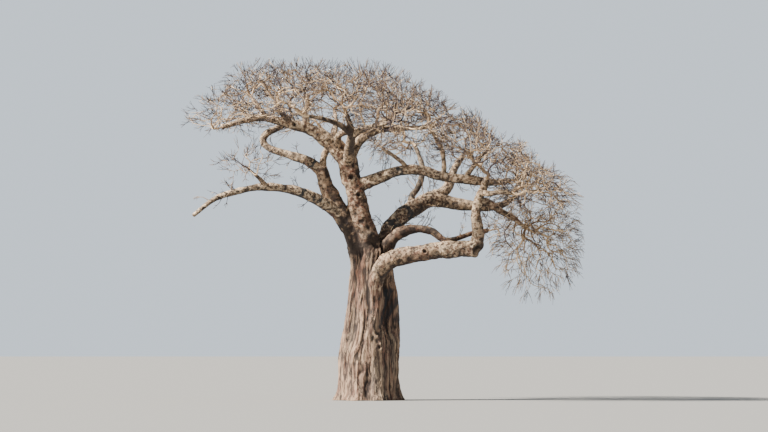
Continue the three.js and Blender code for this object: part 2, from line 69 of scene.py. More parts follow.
# Boughs and limbs: the carrier and the share of its length where each leaves it, then the places
# that it runs through and its thickness along them
BOUGHS = {
    "centre_bough": (None, 0, [
        (-0.1, 0.1, 5.9), (-0.26, 0.05, 7.05), (-0.48, 0, 7.85), (-0.66, 0, 8.6), (-0.8, 0, 9.4),
        (-1.0, 0, 10.2), (-1.2, 0, 10.85)], (1.15, 0.86, 0.8, 0.84)),
    "left_bough": (None, 0, [
        (-0.35, 0.1, 6.0), (-0.76, 0.1, 7.2), (-1.24, 0.05, 8.05), (-1.7, 0, 8.8),
        (-2.05, -0.05, 9.55), (-2.26, -0.1, 10.25)], (0.9, 0.76, 0.54)),
    "right_rear_bough": (None, 0, [
        (0.3, 0.25, 6.2), (0.68, 0.45, 7.2), (0.95, 0.7, 7.72), (1.32, 1.0, 8.12),
        (1.83, 1.4, 8.48), (2.42, 1.8, 8.84), (2.94, 2.1, 9.05)], (0.74, 0.76, 0.64)),
    "right_low_bough": (None, 0, [
        (0.02, -0.75, 4.4), (0.16, -0.86, 5.2), (0.45, -1.0, 5.85), (1.0, -1.12, 6.2),
        (1.66, -1.25, 6.35), (2.45, -1.4, 6.48), (3.3, -1.5, 6.58), (4.1, -1.58, 6.64)],
        (0.5, 0.74, 0.7, 0.68)),
    "right_upright_bough": ("right_low_bough", 1, [
        (4.5, -1.6, 6.78), (4.63, -1.6, 7.2), (4.58, -1.58, 7.7), (4.53, -1.55, 8.15),
        (4.66, -1.5, 8.75), (4.88, -1.75, 9.3), (5.0, -2.2, 9.65)], (0.62, 0.44, 0.38, 0.22)),
    "dipping_bough": (None, 0, [
        (0.5, 0, 6.5), (0.92, -0.05, 7.1), (1.4, -0.15, 7.42), (2.1, -0.35, 7.52),
        (2.68, -0.5, 7.38), (3.15, -0.62, 7.03), (3.65, -0.62, 7.07), (4.4, -0.4, 7.33),
        (5.1, -0.3, 7.45)], (0.6, 0.35, 0.24, 0.17)),
    "rear_bough": (None, 0, [
        (-0.15, 0.3, 6.2), (-0.36, 0.95, 7.25), (-0.58, 1.7, 8.25), (-0.72, 2.5, 9.2),
        (-0.95, 3.25, 10.15), (-1.3, 4.0, 11.0), (-1.75, 4.7, 11.7)], (0.7, 0.5, 0.2)),
    "left_low_bough": ("left_bough", 0.5, [
        (-2.15, -0.4, 8.67), (-2.89, -0.8, 9.02), (-3.7, -1.25, 9.24), (-4.8, -1.7, 9.3),
        (-5.9, -2.1, 9.08), (-6.83, -2.4, 8.74), (-7.72, -2.7, 8.02)], (0.54, 0.38, 0.27, 0.15)),
    "left_low_riser": ("left_low_bough", 0.52, [(-4.85, -1.95, 9.62), (-5.1, -2.1, 9.85)],
                       (0.19, 0.13)),
    "left_hook_lower": ("left_bough", 0.96, [
        (-2.8, -0.05, 10.5), (-3.43, 0.05, 10.72), (-4.05, 0.18, 10.92), (-4.5, 0.3, 11.08)],
        (0.46, 0.34, 0.3)),
    "left_hook_upper": ("left_hook_lower", 1, [
        (-4.76, 0.38, 11.3), (-4.8, 0.45, 11.55), (-4.62, 0.55, 11.8), (-4.3, 0.8, 11.97),
        (-3.95, 1.15, 12.2), (-3.7, 1.6, 12.55)], (0.3, 0.27, 0.18)),
    "left_thin_limb": ("left_bough", 0.93, [
        (-2.14, 0.3, 10.66), (-1.95, 0.9, 11.2), (-1.7, 1.6, 11.8), (-1.62, 2.3, 12.4),
        (-1.68, 2.8, 12.85)], (0.28, 0.16)),
    "top_left_bough": ("centre_bough", 0.95, [
        (-1.76, -0.05, 11.27), (-2.33, -0.2, 11.7), (-3.03, -0.4, 12.0), (-3.68, -0.6, 12.13),
        (-4.29, -0.8, 12.29), (-4.89, -1, 12.37), (-5.5, -1.2, 12.26), (-6.1, -1.4, 12.06),
        (-6.6, -1.5, 11.92)], (0.84, 0.56, 0.36, 0.26, 0.16)),
    "top_left_riser": ("top_left_bough", 0.66, [
        (-4.87, -1, 12.72), (-5.07, -0.95, 13.0), (-5.25, -0.85, 13.25)], (0.2, 0.14)),
    "high_left_riser": ("top_left_bough", 0.35, [
        (-2.96, -0.45, 12.6), (-2.82, -0.5, 13.0), (-2.89, -0.5, 13.35)], (0.24, 0.14)),
    "front_left_riser": ("top_left_bough", 0.48, [
        (-3.97, -1.2, 12.6), (-4.17, -1.85, 12.9), (-4.1, -2.45, 13.1)], (0.26, 0.14)),
    "back_left_limb": ("top_left_bough", 0.58, [
        (-4.83, -0.2, 12.39), (-5.26, 0.6, 12.49), (-5.64, 1.25, 12.66)], (0.24, 0.14)),
    "pale_cross_limb": ("top_left_bough", 0.08, [
        (-1.46, -0.75, 11.6), (-0.96, -0.98, 11.78), (-0.48, -1.1, 11.78), (-0.05, -1.3, 11.95)],
        (0.3, 0.25, 0.16)),
    "top_right_limb": ("centre_bough", 0.93, [
        (-0.86, -0.2, 11.0), (-0.6, -0.3, 11.4), (-0.22, -0.3, 11.72), (0.31, -0.2, 12.09),
        (0.85, 0.05, 12.5)], (0.5, 0.4, 0.2)),
    "top_right_outer": ("top_right_limb", 0.52, [
        (0.45, 0.1, 11.92), (1.3, 0.5, 12.0), (2.2, 0.85, 12.05), (2.9, 1.1, 12.2)], (0.3, 0.16)),
    "front_limb": ("centre_bough", 0.9, [
        (-1.0, -0.9, 11.0), (-0.9, -1.8, 11.4), (-0.94, -2.8, 11.92), (-1.1, -3.5, 12.35)],
        (0.46, 0.36, 0.18)),
    "front_left_limb": ("front_limb", 0.62, [
        (-1.37, -3.3, 11.9), (-2.0, -4.1, 12.1), (-2.7, -4.7, 12.2)], (0.26, 0.15)),
    "front_right_limb": ("front_limb", 0.55, [
        (-0.42, -2.9, 11.74), (0.1, -3.5, 11.85), (0.66, -4.0, 11.95)], (0.26, 0.15)),
    "right_middle_bough": ("centre_bough", 0.7, [
        (0.0, -0.12, 9.65), (0.53, -0.25, 9.84), (1.01, -0.35, 10.02), (1.58, -0.4, 10.12),
        (2.19, -0.45, 10.08), (2.85, -0.5, 9.88), (3.55, -0.5, 9.74), (4.21, -0.45, 9.69),
        (4.83, -0.3, 9.62), (5.5, -0.05, 9.58), (6.1, 0.2, 9.68)], (0.56, 0.44, 0.42, 0.4, 0.22)),
    "middle_spur": ("right_middle_bough", 0.35, [
        (1.36, -0.62, 10.4), (0.98, -0.9, 10.68), (0.64, -1.1, 10.92)], (0.18, 0.12)),
    "middle_riser": ("right_middle_bough", 0.57, [
        (3.16, -0.6, 10.35), (3.06, -0.85, 10.96), (2.8, -1.2, 11.45), (2.6, -1.5, 11.75)],
        (0.2, 0.13)),
    "outer_riser": ("right_middle_bough", 0.7, [
        (4.38, -0.6, 10.15), (4.7, -0.8, 10.55), (4.95, -1.0, 10.9)], (0.2, 0.13)),
    "rear_riser": ("right_rear_bough", 0.9, [
        (3.22, 2.3, 9.28), (3.48, 2.65, 9.7), (3.62, 3.0, 10.15), (3.85, 3.35, 10.6),
        (4.1, 3.7, 10.95)], (0.48, 0.36, 0.18)),
    "rear_low_limb": ("right_rear_bough", 0.94, [
        (3.4, 2.1, 8.8), (4.01, 2.05, 8.68), (4.62, 1.95, 8.62), (5.25, 2.0, 8.56),
        (5.85, 2.4, 8.7), (6.3, 2.9, 9.0)], (0.54, 0.46, 0.32, 0.17)),
    "dark_upright_limb": ("right_rear_bough", 0.64, [
        (1.76, 1.65, 9.02), (2.0, 2.1, 9.37), (2.18, 2.6, 9.8), (2.26, 3.2, 10.36),
        (2.12, 3.9, 10.95), (1.95, 4.5, 11.4)], (0.28, 0.24, 0.15)),
    "right_hanging_limb": ("right_upright_bough", 0.62, [
        (5.0, -1.4, 8.66), (5.55, -1.1, 8.32), (6.15, -0.85, 8.0), (6.5, -0.7, 7.75)],
        (0.3, 0.26, 0.18)),
    "right_outer_limb": ("right_upright_bough", 0.76, [
        (5.15, -2.05, 9.0), (5.6, -2.55, 9.05), (6.1, -2.9, 8.95)], (0.26, 0.15)),
}
# A limb swells at its foot, and stays a little thinner than what carries it
FOOT_SWELL, SWELL_RUN, CARRIER_SHARE = 0.32, 1.4, 0.96
# The steps of a line, how finely its bends are worked out, and from which rise it is steep
LINE_STEP, STRETCH_POINTS, STEEP = 0.12, 40, 0.8


def smooth_line(places, step):
    """A line through places, smoothly bent, with even steps between its points."""
    places = np.array(places, dtype=float)
    ends = np.vstack([2 * places[0] - places[1], places, 2 * places[-1] - places[-2]])
    share = np.linspace(0, 1, STRETCH_POINTS, endpoint=False)[:, None]
    stretches = []
    for before, here, there, after in zip(ends, ends[1:], ends[2:], ends[3:]):
        leave, arrive = (there - before) / 2, (after - here) / 2
        stretches.append(here + leave * share + (3 * (there - here) - 2 * leave - arrive) * share**2
                         + (2 * (here - there) + leave + arrive) * share**3)
    dense = np.vstack(stretches + [places[-1:]])
    gone = np.append(0, np.cumsum(np.linalg.norm(np.diff(dense[:, :3], axis=0), axis=1)))
    even = np.linspace(0, gone[-1], max(round(gone[-1] / step), 2) + 1)
    return np.stack([np.interp(even, gone, column) for column in dense.T], axis=1)


def radii_along(line, thick):
    """The radius at each point of a line, from a few thicknesses along it."""
    return np.interp(np.linspace(0, 1, len(line)), np.linspace(0, 1, len(thick)), thick) / 2


def unit(vectors):
    """Directions of length one."""
    return vectors / np.maximum(np.linalg.norm(vectors, axis=-1, keepdims=True), 1e-9)


def frames_along(line):
    """Directions ahead of, across and above a line, turned as little as possible."""
    ahead = unit(np.gradient(line, axis=0))
    across = np.empty_like(ahead)
    steep = abs(ahead[0, 2]) > STEEP
    across[0] = unit(np.cross((0, 1, 0) if steep else (0, 0, 1), ahead[0]))
    for index in range(1, len(line)):
        turned = across[index - 1] - ahead[index] * (across[index - 1] @ ahead[index])
        across[index] = unit(turned)
    return ahead, across, np.cross(ahead, across)


def lay_limb(carrier, leaves, route, thick):
    """A limb's line, with its radii and frames, from where it leaves its carrier."""
    places = list(route)
    widest = thick[0]
    if carrier:
        held = limbs[carrier]
        gone = np.linspace(0, 1, len(held["line"]))
        places.insert(0, [np.interp(leaves, gone, column) for column in held["line"].T])
        widest = np.interp(leaves, gone, held["radii"]) * CARRIER_SHARE if leaves < 1 else 0
    line = smooth_line(places, LINE_STEP)
    share = np.linspace(0, 1, len(line))
    bare = radii_along(line, thick)
    length = np.linalg.norm(np.diff(line, axis=0), axis=1).sum()
    swell = 1 + FOOT_SWELL * np.exp(-share * length / (SWELL_RUN * thick[0] / 2))
    radii = np.maximum(bare, np.minimum(bare * swell, widest))
    return {"line": line, "radii": radii, "length": length, "frames": frames_along(line)}


limbs = {}
for name, (carrier, leaves, route, thick) in BOUGHS.items():
    limbs[name] = lay_limb(carrier, leaves, route, thick)

# How finely the trunk and the boughs are drawn before they grow together
TRUNK_STEP, TRUNK_SIDES, TUBE_SIDES = 0.1, 96, 20
# The skin's squares, how often it is drawn smooth, and where it is cut into pieces
TRUNK_GRAIN, FORK_ROUNDS, TRUNK_CUT, BOUGH_CUT = 0.03, 6, 3.7, 7.35
# The boughs that are part of this skin from end to end
FORKED = ["centre_bough", "left_bough", "right_rear_bough", "right_low_bough", "dipping_bough",
          "rear_bough", "top_left_bough", "right_upright_bough"]
# Each bough's root runs down the trunk as a ridge: the way it faces, its top, foot and thickness
RIDGES = [(-1.6, 5.3, 0.9, 0.84), (-2.55, 5.8, 2.0, 0.52), (2.85, 5.7, 2.4, 0.38),
          (1.85, 5.8, 1.6, 0.56), (0.75, 5.8, 2.2, 0.5), (0.02, 5.4, 2.6, 0.34)]
RIDGE_SUNK, RIDGE_SINKS, RIDGE_LEAN, RIDGE_TAPER = 0.3, 0.4, 0.5, np.array((1, 0.85, 0.62, 0.36))
RIDGE_WANDER, RIDGE_WAVE, RIDGE_TURN, RIDGE_PLACES = 0.09, 2.1, 5, 7
# The foot of each limb is part of this skin too: its length, and its swell from start to end
FOOT_STUB, STUB_SWELL = 0.9, (1.05, 0.86)
# The low right bough ends in a broken stub below its elbow: its places and thickness
BROKEN_END = ([(3.9, -1.57, 6.62), (4.25, -1.6, 6.58), (4.56, -1.62, 6.56)], (0.68, 0.62, 0.42))
# Knot holes and scars: place, reach and depth
PITS = [
    ((-0.9, -0.42, 9.79), 0.1, 0.12), ((-0.58, -0.4, 9.03), 0.09, 0.12),
    ((-0.66, -0.5, 11.05), 0.1, 0.1), ((4.66, -1.84, 6.52), 0.2, 0.26), ((0.3, -1.24, 2.95), 0.13, 0.12),
    ((0.38, -1.25, 2.35), 0.1, 0.1), ((-1.5, 0.45, 8.3), 0.1, 0.1), ((0.5, 1.2, 4.2), 0.16, 0.14),
    ((-0.9, 0.85, 2.6), 0.14, 0.12), ((2.3, -1.75, 6.5), 0.08, 0.08), ((-3.4, -0.75, 12.1), 0.09, 0.09),
    ((-6.65, -1.52, 11.9), 0.1, 0.14), ((0.22, -0.66, 6.95), 0.3, 0.26), ((-1.72, -0.55, 11.75), 0.1, 0.14),
]


def tube(line, radii, frames, sides):
    """Points and faces of a closed tube along a line."""
    angles = np.linspace(0, 2 * np.pi, sides, endpoint=False)
    across, above = frames[1][:, None], frames[2][:, None]
    rings = line[:, None] + radii[:, None, None] * (
        across * np.cos(angles)[None, :, None] + above * np.sin(angles)[None, :, None])
    return close_rings(rings)


def close_rings(rings):
    """Points and faces of rings joined in a row, with both ends closed."""
    count, sides = rings.shape[:2]
    here = np.arange((count - 1) * sides).reshape(count - 1, sides)
    beside = np.roll(here, -1, axis=1)
    faces = np.stack([here, beside, beside + sides, here + sides], axis=-1).reshape(-1, 4).tolist()
    faces.append(list(range(sides))[::-1])
    faces.append(list(range((count - 1) * sides, count * sides)))
    return rings.reshape(-1, 3), faces


def limb_tube(limb):
    """A limb as a closed tube."""
    return tube(limb["line"], limb["radii"], limb["frames"], TUBE_SIDES)


def tube_through(places, thick):
    """A closed tube through places, from a few thicknesses along it."""
    line = smooth_line(places, LINE_STEP)
    return tube(line, radii_along(line, thick), frames_along(line), TUBE_SIDES)


def foot_stub(limb):
    """The foot of a limb, a little proud where it leaves its carrier and sunk at its end."""
    count = max(round(FOOT_STUB / LINE_STEP), 3)
    frames = [part[:count] for part in limb["frames"]]
    return tube(limb["line"][:count], limb["radii"][:count] * np.linspace(*STUB_SWELL, count), frames,
                TUBE_SIDES)


def trunk_reach(angle, height, radius):
    """How far the trunk's skin stands out from its middle line, ribs and hollow counted."""
    rib = sum((depth + flare * np.exp(-height / fade)) * np.cos(count * angle + turn)
              for count, turn, depth, flare, fade in RIBS)
    aside = np.arctan2(np.sin(angle - HOLLOW["angle"]), np.cos(angle - HOLLOW["angle"]))
    hollow = HOLLOW["depth"] * np.exp(-(aside / HOLLOW["width"])**4
                                      - ((height - HOLLOW["height"]) / HOLLOW["rise"])**4)
    return radius * (1 + rib - hollow)


trunk_line = smooth_line([(x, y, height, radius) for height, x, y, radius in TRUNK_STATIONS],
                         TRUNK_STEP)


def trunk_middle(height):
    """The middle line's place and the radius of the trunk at some heights."""
    return [np.interp(height, trunk_line[:, 2], trunk_line[:, column]) for column in (0, 1, 3)]


def round_trunk(points):
    """Each point's angle and height on the trunk, and how far it is outside the trunk's skin."""
    x, y, radius = trunk_middle(points[:, 2])
    angle = np.arctan2(points[:, 1] - y, points[:, 0] - x)
    outside = np.hypot(points[:, 0] - x, points[:, 1] - y) - trunk_reach(angle, points[:, 2], radius)
    return angle, points[:, 2], outside


def trunk_skin():
    """Points and faces of the trunk, ring by ring from its foot up."""
    angles = np.linspace(0, 2 * np.pi, TRUNK_SIDES, endpoint=False)[None]
    x, y, height, radius = (trunk_line[:, column, None] for column in range(4))
    reach = trunk_reach(angles, height, radius)
    rings = np.stack([x + reach * np.cos(angles), y + reach * np.sin(angles),
                      np.broadcast_to(height, reach.shape)], axis=-1)
    return close_rings(rings)


def ridge(facing, top, foot, thick):
    """A bough's root running down the trunk, half sunk in it."""
    height = np.linspace(top, foot, RIDGE_PLACES)
    share = np.linspace(0, 1, RIDGE_PLACES)
    x, y, radius = trunk_middle(height)
    angle = facing + RIDGE_WANDER * np.sin(height * RIDGE_WAVE + facing * RIDGE_TURN)
    reach = trunk_reach(angle, height, radius) - thick * RIDGE_SUNK * (1 + RIDGE_SINKS * share)
    reach *= 1 - RIDGE_LEAN * (1 - share)**4
    places = np.stack([x + reach * np.cos(angle), y + reach * np.sin(angle), height], axis=1)
    return tube_through(places, thick * RIDGE_TAPER)


def stand(name, data):
    """A new object of the scene, for a mesh, a lamp or a camera."""
    item = bpy.data.objects.new(name, data)
    bpy.context.scene.collection.objects.link(item)
    return item


def mesh_object(name, points, faces):
    """A new object of the scene with a mesh of these points and faces."""
    mesh = bpy.data.meshes.new(name)
    mesh.from_pydata(points, [], faces)
    return stand(name, mesh)


def grown_together(name, skins, grain):
    """One skin round several overlapping ones, in even squares."""
    points, faces, start = [], [], 0
    for skin_points, skin_faces in skins:
        points.append(skin_points)
        faces += [[corner + start for corner in face] for face in skin_faces]
        start += len(skin_points)
    piece = mesh_object(name, np.vstack(points).tolist(), faces)
    remesh = piece.modifiers.new("grown", "REMESH")
    remesh.mode, remesh.voxel_size, remesh.adaptivity = "VOXEL", grain, 0
    return baked(piece)


def baked(piece):
    """The piece with its modifiers made part of its mesh."""
    ready = piece.evaluated_get(bpy.context.evaluated_depsgraph_get())
    mesh = bpy.data.meshes.new_from_object(ready)
    old = piece.data
    piece.modifiers.clear()
    piece.data = mesh
    bpy.data.meshes.remove(old)
    return piece


def rows_of(items, label, width, kind):
    """What Blender holds under a label for each of many items, as rows of numbers."""
    rows = np.empty(len(items) * width, dtype=kind)
    items.foreach_get(label, rows)
    return rows.reshape(-1, width)


def read_points(piece):
    """The places of a piece's points."""
    return rows_of(piece.data.vertices, "co", 3, np.float32).astype(float)


def normals_of(piece):
    """The way that a piece's skin faces at each of its points."""
    return rows_of(piece.data.vertex_normals, "vector", 3, np.float32).astype(float)


def write_points(piece, points):
    """Puts a piece's points in new places."""
    piece.data.vertices.foreach_set("co", points.astype(np.float32).ravel())
    piece.data.update()


def smoothed(piece, points, rounds):
    """Points drawn towards the middle of their neighbours."""
    first, second = rows_of(piece.data.edges, "vertices", 2, np.int32).T
    count = len(points)
    around = np.bincount(first, minlength=count) + np.bincount(second, minlength=count)
    for _ in range(rounds):
        middle = np.stack([
            np.bincount(first, weights=column[second], minlength=count)
            + np.bincount(second, weights=column[first], minlength=count)
            for column in points.T], axis=1) / around[:, None]
        points = (points + middle) / 2
    return points


# Large odd numbers that scatter the noise's cells, its seed and the mixture of both
CELL_SCATTER, SEED_SCATTER, MIX_SCATTER = (73856093, 19349663, 83492791), 7919, 1274126177
ALL_BITS, LOW_BITS = 0xFFFFFFFF, 0xFFFF


def lattice_noise(places, seed):
    """Smooth noise from -1 to 1 with bumps about one unit across."""
    cell = np.floor(places).astype(np.int64)
    part = places - cell
    part = part * part * part * (part * (part * 6 - 15) + 10)
    total = np.zeros(len(places))
    for corner in range(8):
        offset = np.array([corner & 1, corner >> 1 & 1, corner >> 2 & 1])
        x, y, z = ((cell + offset) * CELL_SCATTER).T
        mixed = (x ^ y ^ z) + seed * SEED_SCATTER
        mixed = (mixed ^ mixed >> 13) * MIX_SCATTER & ALL_BITS
        mixed = (mixed ^ mixed >> 16) & LOW_BITS
        weight = np.prod(np.where(offset, part, 1 - part), axis=1)
        total += weight * (mixed / (LOW_BITS / 2) - 1)
    return total


def layered_noise(places, seed, layers):
    """Noise with finer and lower layers of noise on it."""
    total = np.zeros(len(places))
    for layer in range(layers):
        total += lattice_noise(places * 2**layer, seed + layer) / 2**layer
    return total


def straightened(points, limb):
    """Each point's place beside a limb, as if the limb stood straight, how far it is
    outside the limb's bare skin, and the limb's radius there."""
    line, radii = limb["line"], limb["radii"]
    ahead, across, above = limb["frames"]
    step = limb["length"] / (len(line) - 1)
    apart = np.full(len(points), np.inf)
    nearest = np.zeros(len(points), dtype=int)
    for index, place in enumerate(line):
        square = ((points - place)**2).sum(axis=1)
        closer = square < apart
        apart[closer] = square[closer]
        nearest[closer] = index
    offset = points - line[nearest]
    forward = (offset * ahead[nearest]).sum(axis=1)
    side = (offset * across[nearest]).sum(axis=1)
    up = (offset * above[nearest]).sum(axis=1)
    gone = nearest * step + forward
    radius = np.interp(gone, np.linspace(0, limb["length"], len(line)), radii)
    beyond = np.maximum(0, np.maximum(-gone, gone - limb["length"]))
    outside = np.hypot(side, up) - radius + beyond
    return np.stack([side, up, gone], axis=1), outside, radius


def ridged(values):
    """Noise folded so that it stands in narrow ridges."""
    return 1 - 2 * np.abs(values)


# Folds, cords and threads of the trunk's bark: how closely they stand round it and up it, their
# seed, their height and how dark the grooves between them are painted, as painted shade
TRUNK_FOLDS = [(3.3, 0.3, 11, 0.074, 0.5), (8.5, 0.62, 17, 0.034, 0.36), (17, 1.6, 19, 0.014, 0.3)]
# Height of its lumps and knobs, how dark the bark between knobs and in grooves is painted as
# painted shade, and how deep all of it is sunk
TRUNK_LUMP, TRUNK_KNOB, KNOB_DARK, TRUNK_CREASED, TRUNK_SUNK = 0.026, 0.011, 0.35, 0.5, 0.045
# How closely knobs and lumps stand, and how far and how slowly folds wander on their way up
KNOBS, LUMPS, WANDER, SMALL_WANDER, DRAWN_UP = (5, 5, 3.2), 1.4, 0.2, 0.06, 0.7


def trunk_relief(points):
    """Height of the bark on the trunk, long wandering folds with finer cords on them, and
    the painted shade at each point, darker the deeper it lies in a groove."""
    angle, height, _ = round_trunk(points)
    ways = np.stack([2 * np.cos(angle), 2 * np.sin(angle), height * DRAWN_UP], axis=1)
    angle = angle + WANDER * lattice_noise(ways, seed=3)
    angle = angle + SMALL_WANDER * lattice_noise(ways * 3, seed=5)
    around = np.stack([np.cos(angle), np.sin(angle)], axis=1)
    knob = lattice_noise(points * KNOBS, seed=29)
    lump = layered_noise(points * LUMPS, seed=23, layers=3)
    relief = TRUNK_LUMP * lump + TRUNK_KNOB * knob - TRUNK_SUNK
    painted_shade = TRUNK_CREASED - KNOB_DARK * knob
    for closeness, upward, seed, high, dark in TRUNK_FOLDS:
        fold = ridged(lattice_noise(np.column_stack([around * closeness, height * upward]), seed))
        relief += high * fold
        painted_shade -= dark * fold
    return relief, painted_shade


# Painted shade in the hollow, by its angle and height on the trunk: its left edge slants up to the
# right, with one more painted dark line on the left of it, and it is streaked lengthwise
HOLLOW_SHADE = {"left": -1.4, "at": 3.65, "slant": 0.5, "right": 0.2, "bottom": 3.25, "top": 5.0}
HOLLOW_SHADE_EDGE, HOLLOW_SHADE_FADE, HOLLOW_SHADE_RAGGED, EDGE_RAGGED = 0.14, 0.25, 0.2, 0.07
BOTTOM_FADE, TOP_FADE, STAIN_RAGS = (-0.15, 0.15), (-0.3, 0.2), (3, 3, 1.3)
DARK_LINE, LINE_HALF, LINE_DEPTH = -0.36, 0.09, 0.8
STREAKS, STREAK_FULL, STREAK_DEPTH, STREAK_RANGE = 7, 0.85, 0.9, (-0.15, 0.6)
# The redder bark under the fork, which is painted darker there too as painted shade: its middle and half
# size, as an angle and a height
REDDENED = {"middle": -1.95, "wide": 0.75, "level": 6.1, "high": 1.05, "depth": 0.8}


def ramp(values, low, high):
    """Zero below low and one above high, smoothly in between."""
    share = np.clip((values - low) / (high - low), 0, 1)
    return share * share * (3 - 2 * share)


def trunk_shade_and_stains(points):
    """How much painted shade each point of the trunk's bark gets in its hollow, and how red it is stained.
    """
    angle, height, _ = round_trunk(points)
    rag = layered_noise(points * STAIN_RAGS, seed=41, layers=3)
    across = angle + EDGE_RAGGED * rag - HOLLOW_SHADE["left"] - HOLLOW_SHADE["slant"] * (height - HOLLOW_SHADE["at"])
    lanes = np.column_stack([across * STREAKS, height * DRAWN_UP, 0 * height])
    streaks = lattice_noise(lanes, seed=43)
    hollow_shade = ramp(across, 0, HOLLOW_SHADE_EDGE) * ramp(HOLLOW_SHADE["right"] - angle, 0, HOLLOW_SHADE_FADE)
    hollow_shade *= STREAK_FULL - STREAK_DEPTH * np.clip(streaks, *STREAK_RANGE)
    hollow_shade += LINE_DEPTH * np.exp(-((across - DARK_LINE) / LINE_HALF)**2)
    ragged = height + HOLLOW_SHADE_RAGGED * rag
    hollow_shade *= ramp(ragged - HOLLOW_SHADE["bottom"], *BOTTOM_FADE)
    hollow_shade *= 1 - ramp(ragged - HOLLOW_SHADE["top"], *TOP_FADE)
    aside = (angle - REDDENED["middle"]) / REDDENED["wide"]
    above = (height - REDDENED["level"]) / REDDENED["high"]
    return np.array([hollow_shade, np.exp(-aside**4 - above**4) * (REDDENED["depth"] + rag)])


# How high a bough's lumps, wrinkles and pits stand, and how dark their grooves are painted, as painted
# shade
BOUGH_HIGH, BOUGH_DARK = np.array((0.046, 0.012, 0.014)), np.array((0.3, 0.22, 0.52))
# How closely they stand, across it and along it, and how far lumps push the wrinkles aside
BOUGH_LUMPS, BOUGH_RINGS, BOUGH_PITS, RING_WAVE = (2.0, 2.0, 1.5), (1.8, 1.8, 6), (6, 6, 4.5), 0.5
# Its plain painted shade and swell, and the radius that has full relief, with the least and the most
BOUGH_CREASED, BOUGH_SWELL, FULL_RELIEF, RELIEF_RANGE = 0.19, 0.015, 0.35, (0.22, 1.2)


def bough_relief(straight, radius, seed):
    """Height of the bark on a bough, lumps and wrinkles that run round it, and painted shade in its
    grooves.
    """
    size = np.clip(radius / FULL_RELIEF, *RELIEF_RANGE)
    lump = layered_noise(straight * BOUGH_LUMPS + seed, seed, layers=3)
    waved = straight * BOUGH_RINGS + 3 * seed + lump[:, None] * RING_WAVE
    ring = ridged(lattice_noise(waved, seed + 5))
    pit = lattice_noise(straight * BOUGH_PITS + seed, seed + 9)
    forms = np.array([lump, ring, pit])
    return size * (BOUGH_HIGH @ forms) + BOUGH_SWELL, BOUGH_CREASED - BOUGH_DARK @ forms


# How pale, red and sooty each bough's bark is, and then that of the boughs not named
BARK_TINTS = {
    "trunk": (0.2, 0.5, 0.0), "centre_bough": (0.28, 1.0, 0.0), "left_bough": (0.05, 0.35, 0.1),
    "right_rear_bough": (0.6, 0.5, 0.0), "right_low_bough": (0.15, 0.5, 0.0),
    "right_upright_bough": (0.45, 0.35, 0.0), "dipping_bough": (0.05, 0.75, 0.15),
    "rear_bough": (0.1, 0.4, 0.2), "left_low_bough": (0.9, 0.1, 0.0),
    "left_hook_lower": (0.5, 0.1, 0.14), "left_hook_upper": (0.6, 0.1, 0.1),
    "top_left_bough": (0.8, 0.25, 0.0), "right_middle_bough": (0.75, 0.3, 0.1),
    "rear_low_limb": (0.15, 0.05, 0.1), "right_hanging_limb": (0.5, 0.7, 0.0),
    "dark_upright_limb": (0.35, 0.0, 0.42),
}
PLAIN_TINTS = (0.55, 0.2, 0.08)
# Dark and pale bands round the boughs: the middle and reach of each, as shares of the length
DARK_BANDS = {
    "left_low_bough": [(0.2, 0.016), (0.315, 0.022)], "right_middle_bough": [(0.29, 0.022)],
    "right_rear_bough": [(0.36, 0.07), (0.56, 0.03)], "left_hook_lower": [(0.2, 0.04)],
}
PALE_BANDS = {"left_low_bough": [(0.95, 0.2)], "right_low_bough": [(0.88, 0.12), (0.13, 0.07)],
              "right_upright_bough": [(0.7, 0.12)]}
BAND_RAGGED = 0.2
# Where a bough's bark is painted darker all round, as painted shade: share of its length, reach and depth
SHADED = {"left_bough": (0.25, 0.33, 1.1), "right_rear_bough": (0.2, 0.16, 0.5),
          "dipping_bough": (0.35, 0.4, 0.6), "left_hook_lower": (0.5, 0.4, 0.5),
          "centre_bough": (0.2, 0.16, 0.7), "dark_upright_limb": (0.3, 0.8, 0.4),
          "left_low_bough": (0.0, 0.12, 0.6)}
# How closely ragged edges and patches stand, and how uneven they make the darker bark
BOUGH_RAGS, BOUGH_PATCHES, SHADE_RAGGED, SHADE_PATCHY = 2.6, 6, 0.7, 1.2
# The bark of a bough's root gives way to the trunk's, and limbs blend into each other at a fork
ROOT_GIVE, ROOT_RUN, FORK_BLEND, TRUNK_HOLD, LIMB_ROOM = 0.3, 1.5, 0.09, 0.12, 0.3
BOUGH_SEED, BOUGH_SEED_STEP = 31, 7


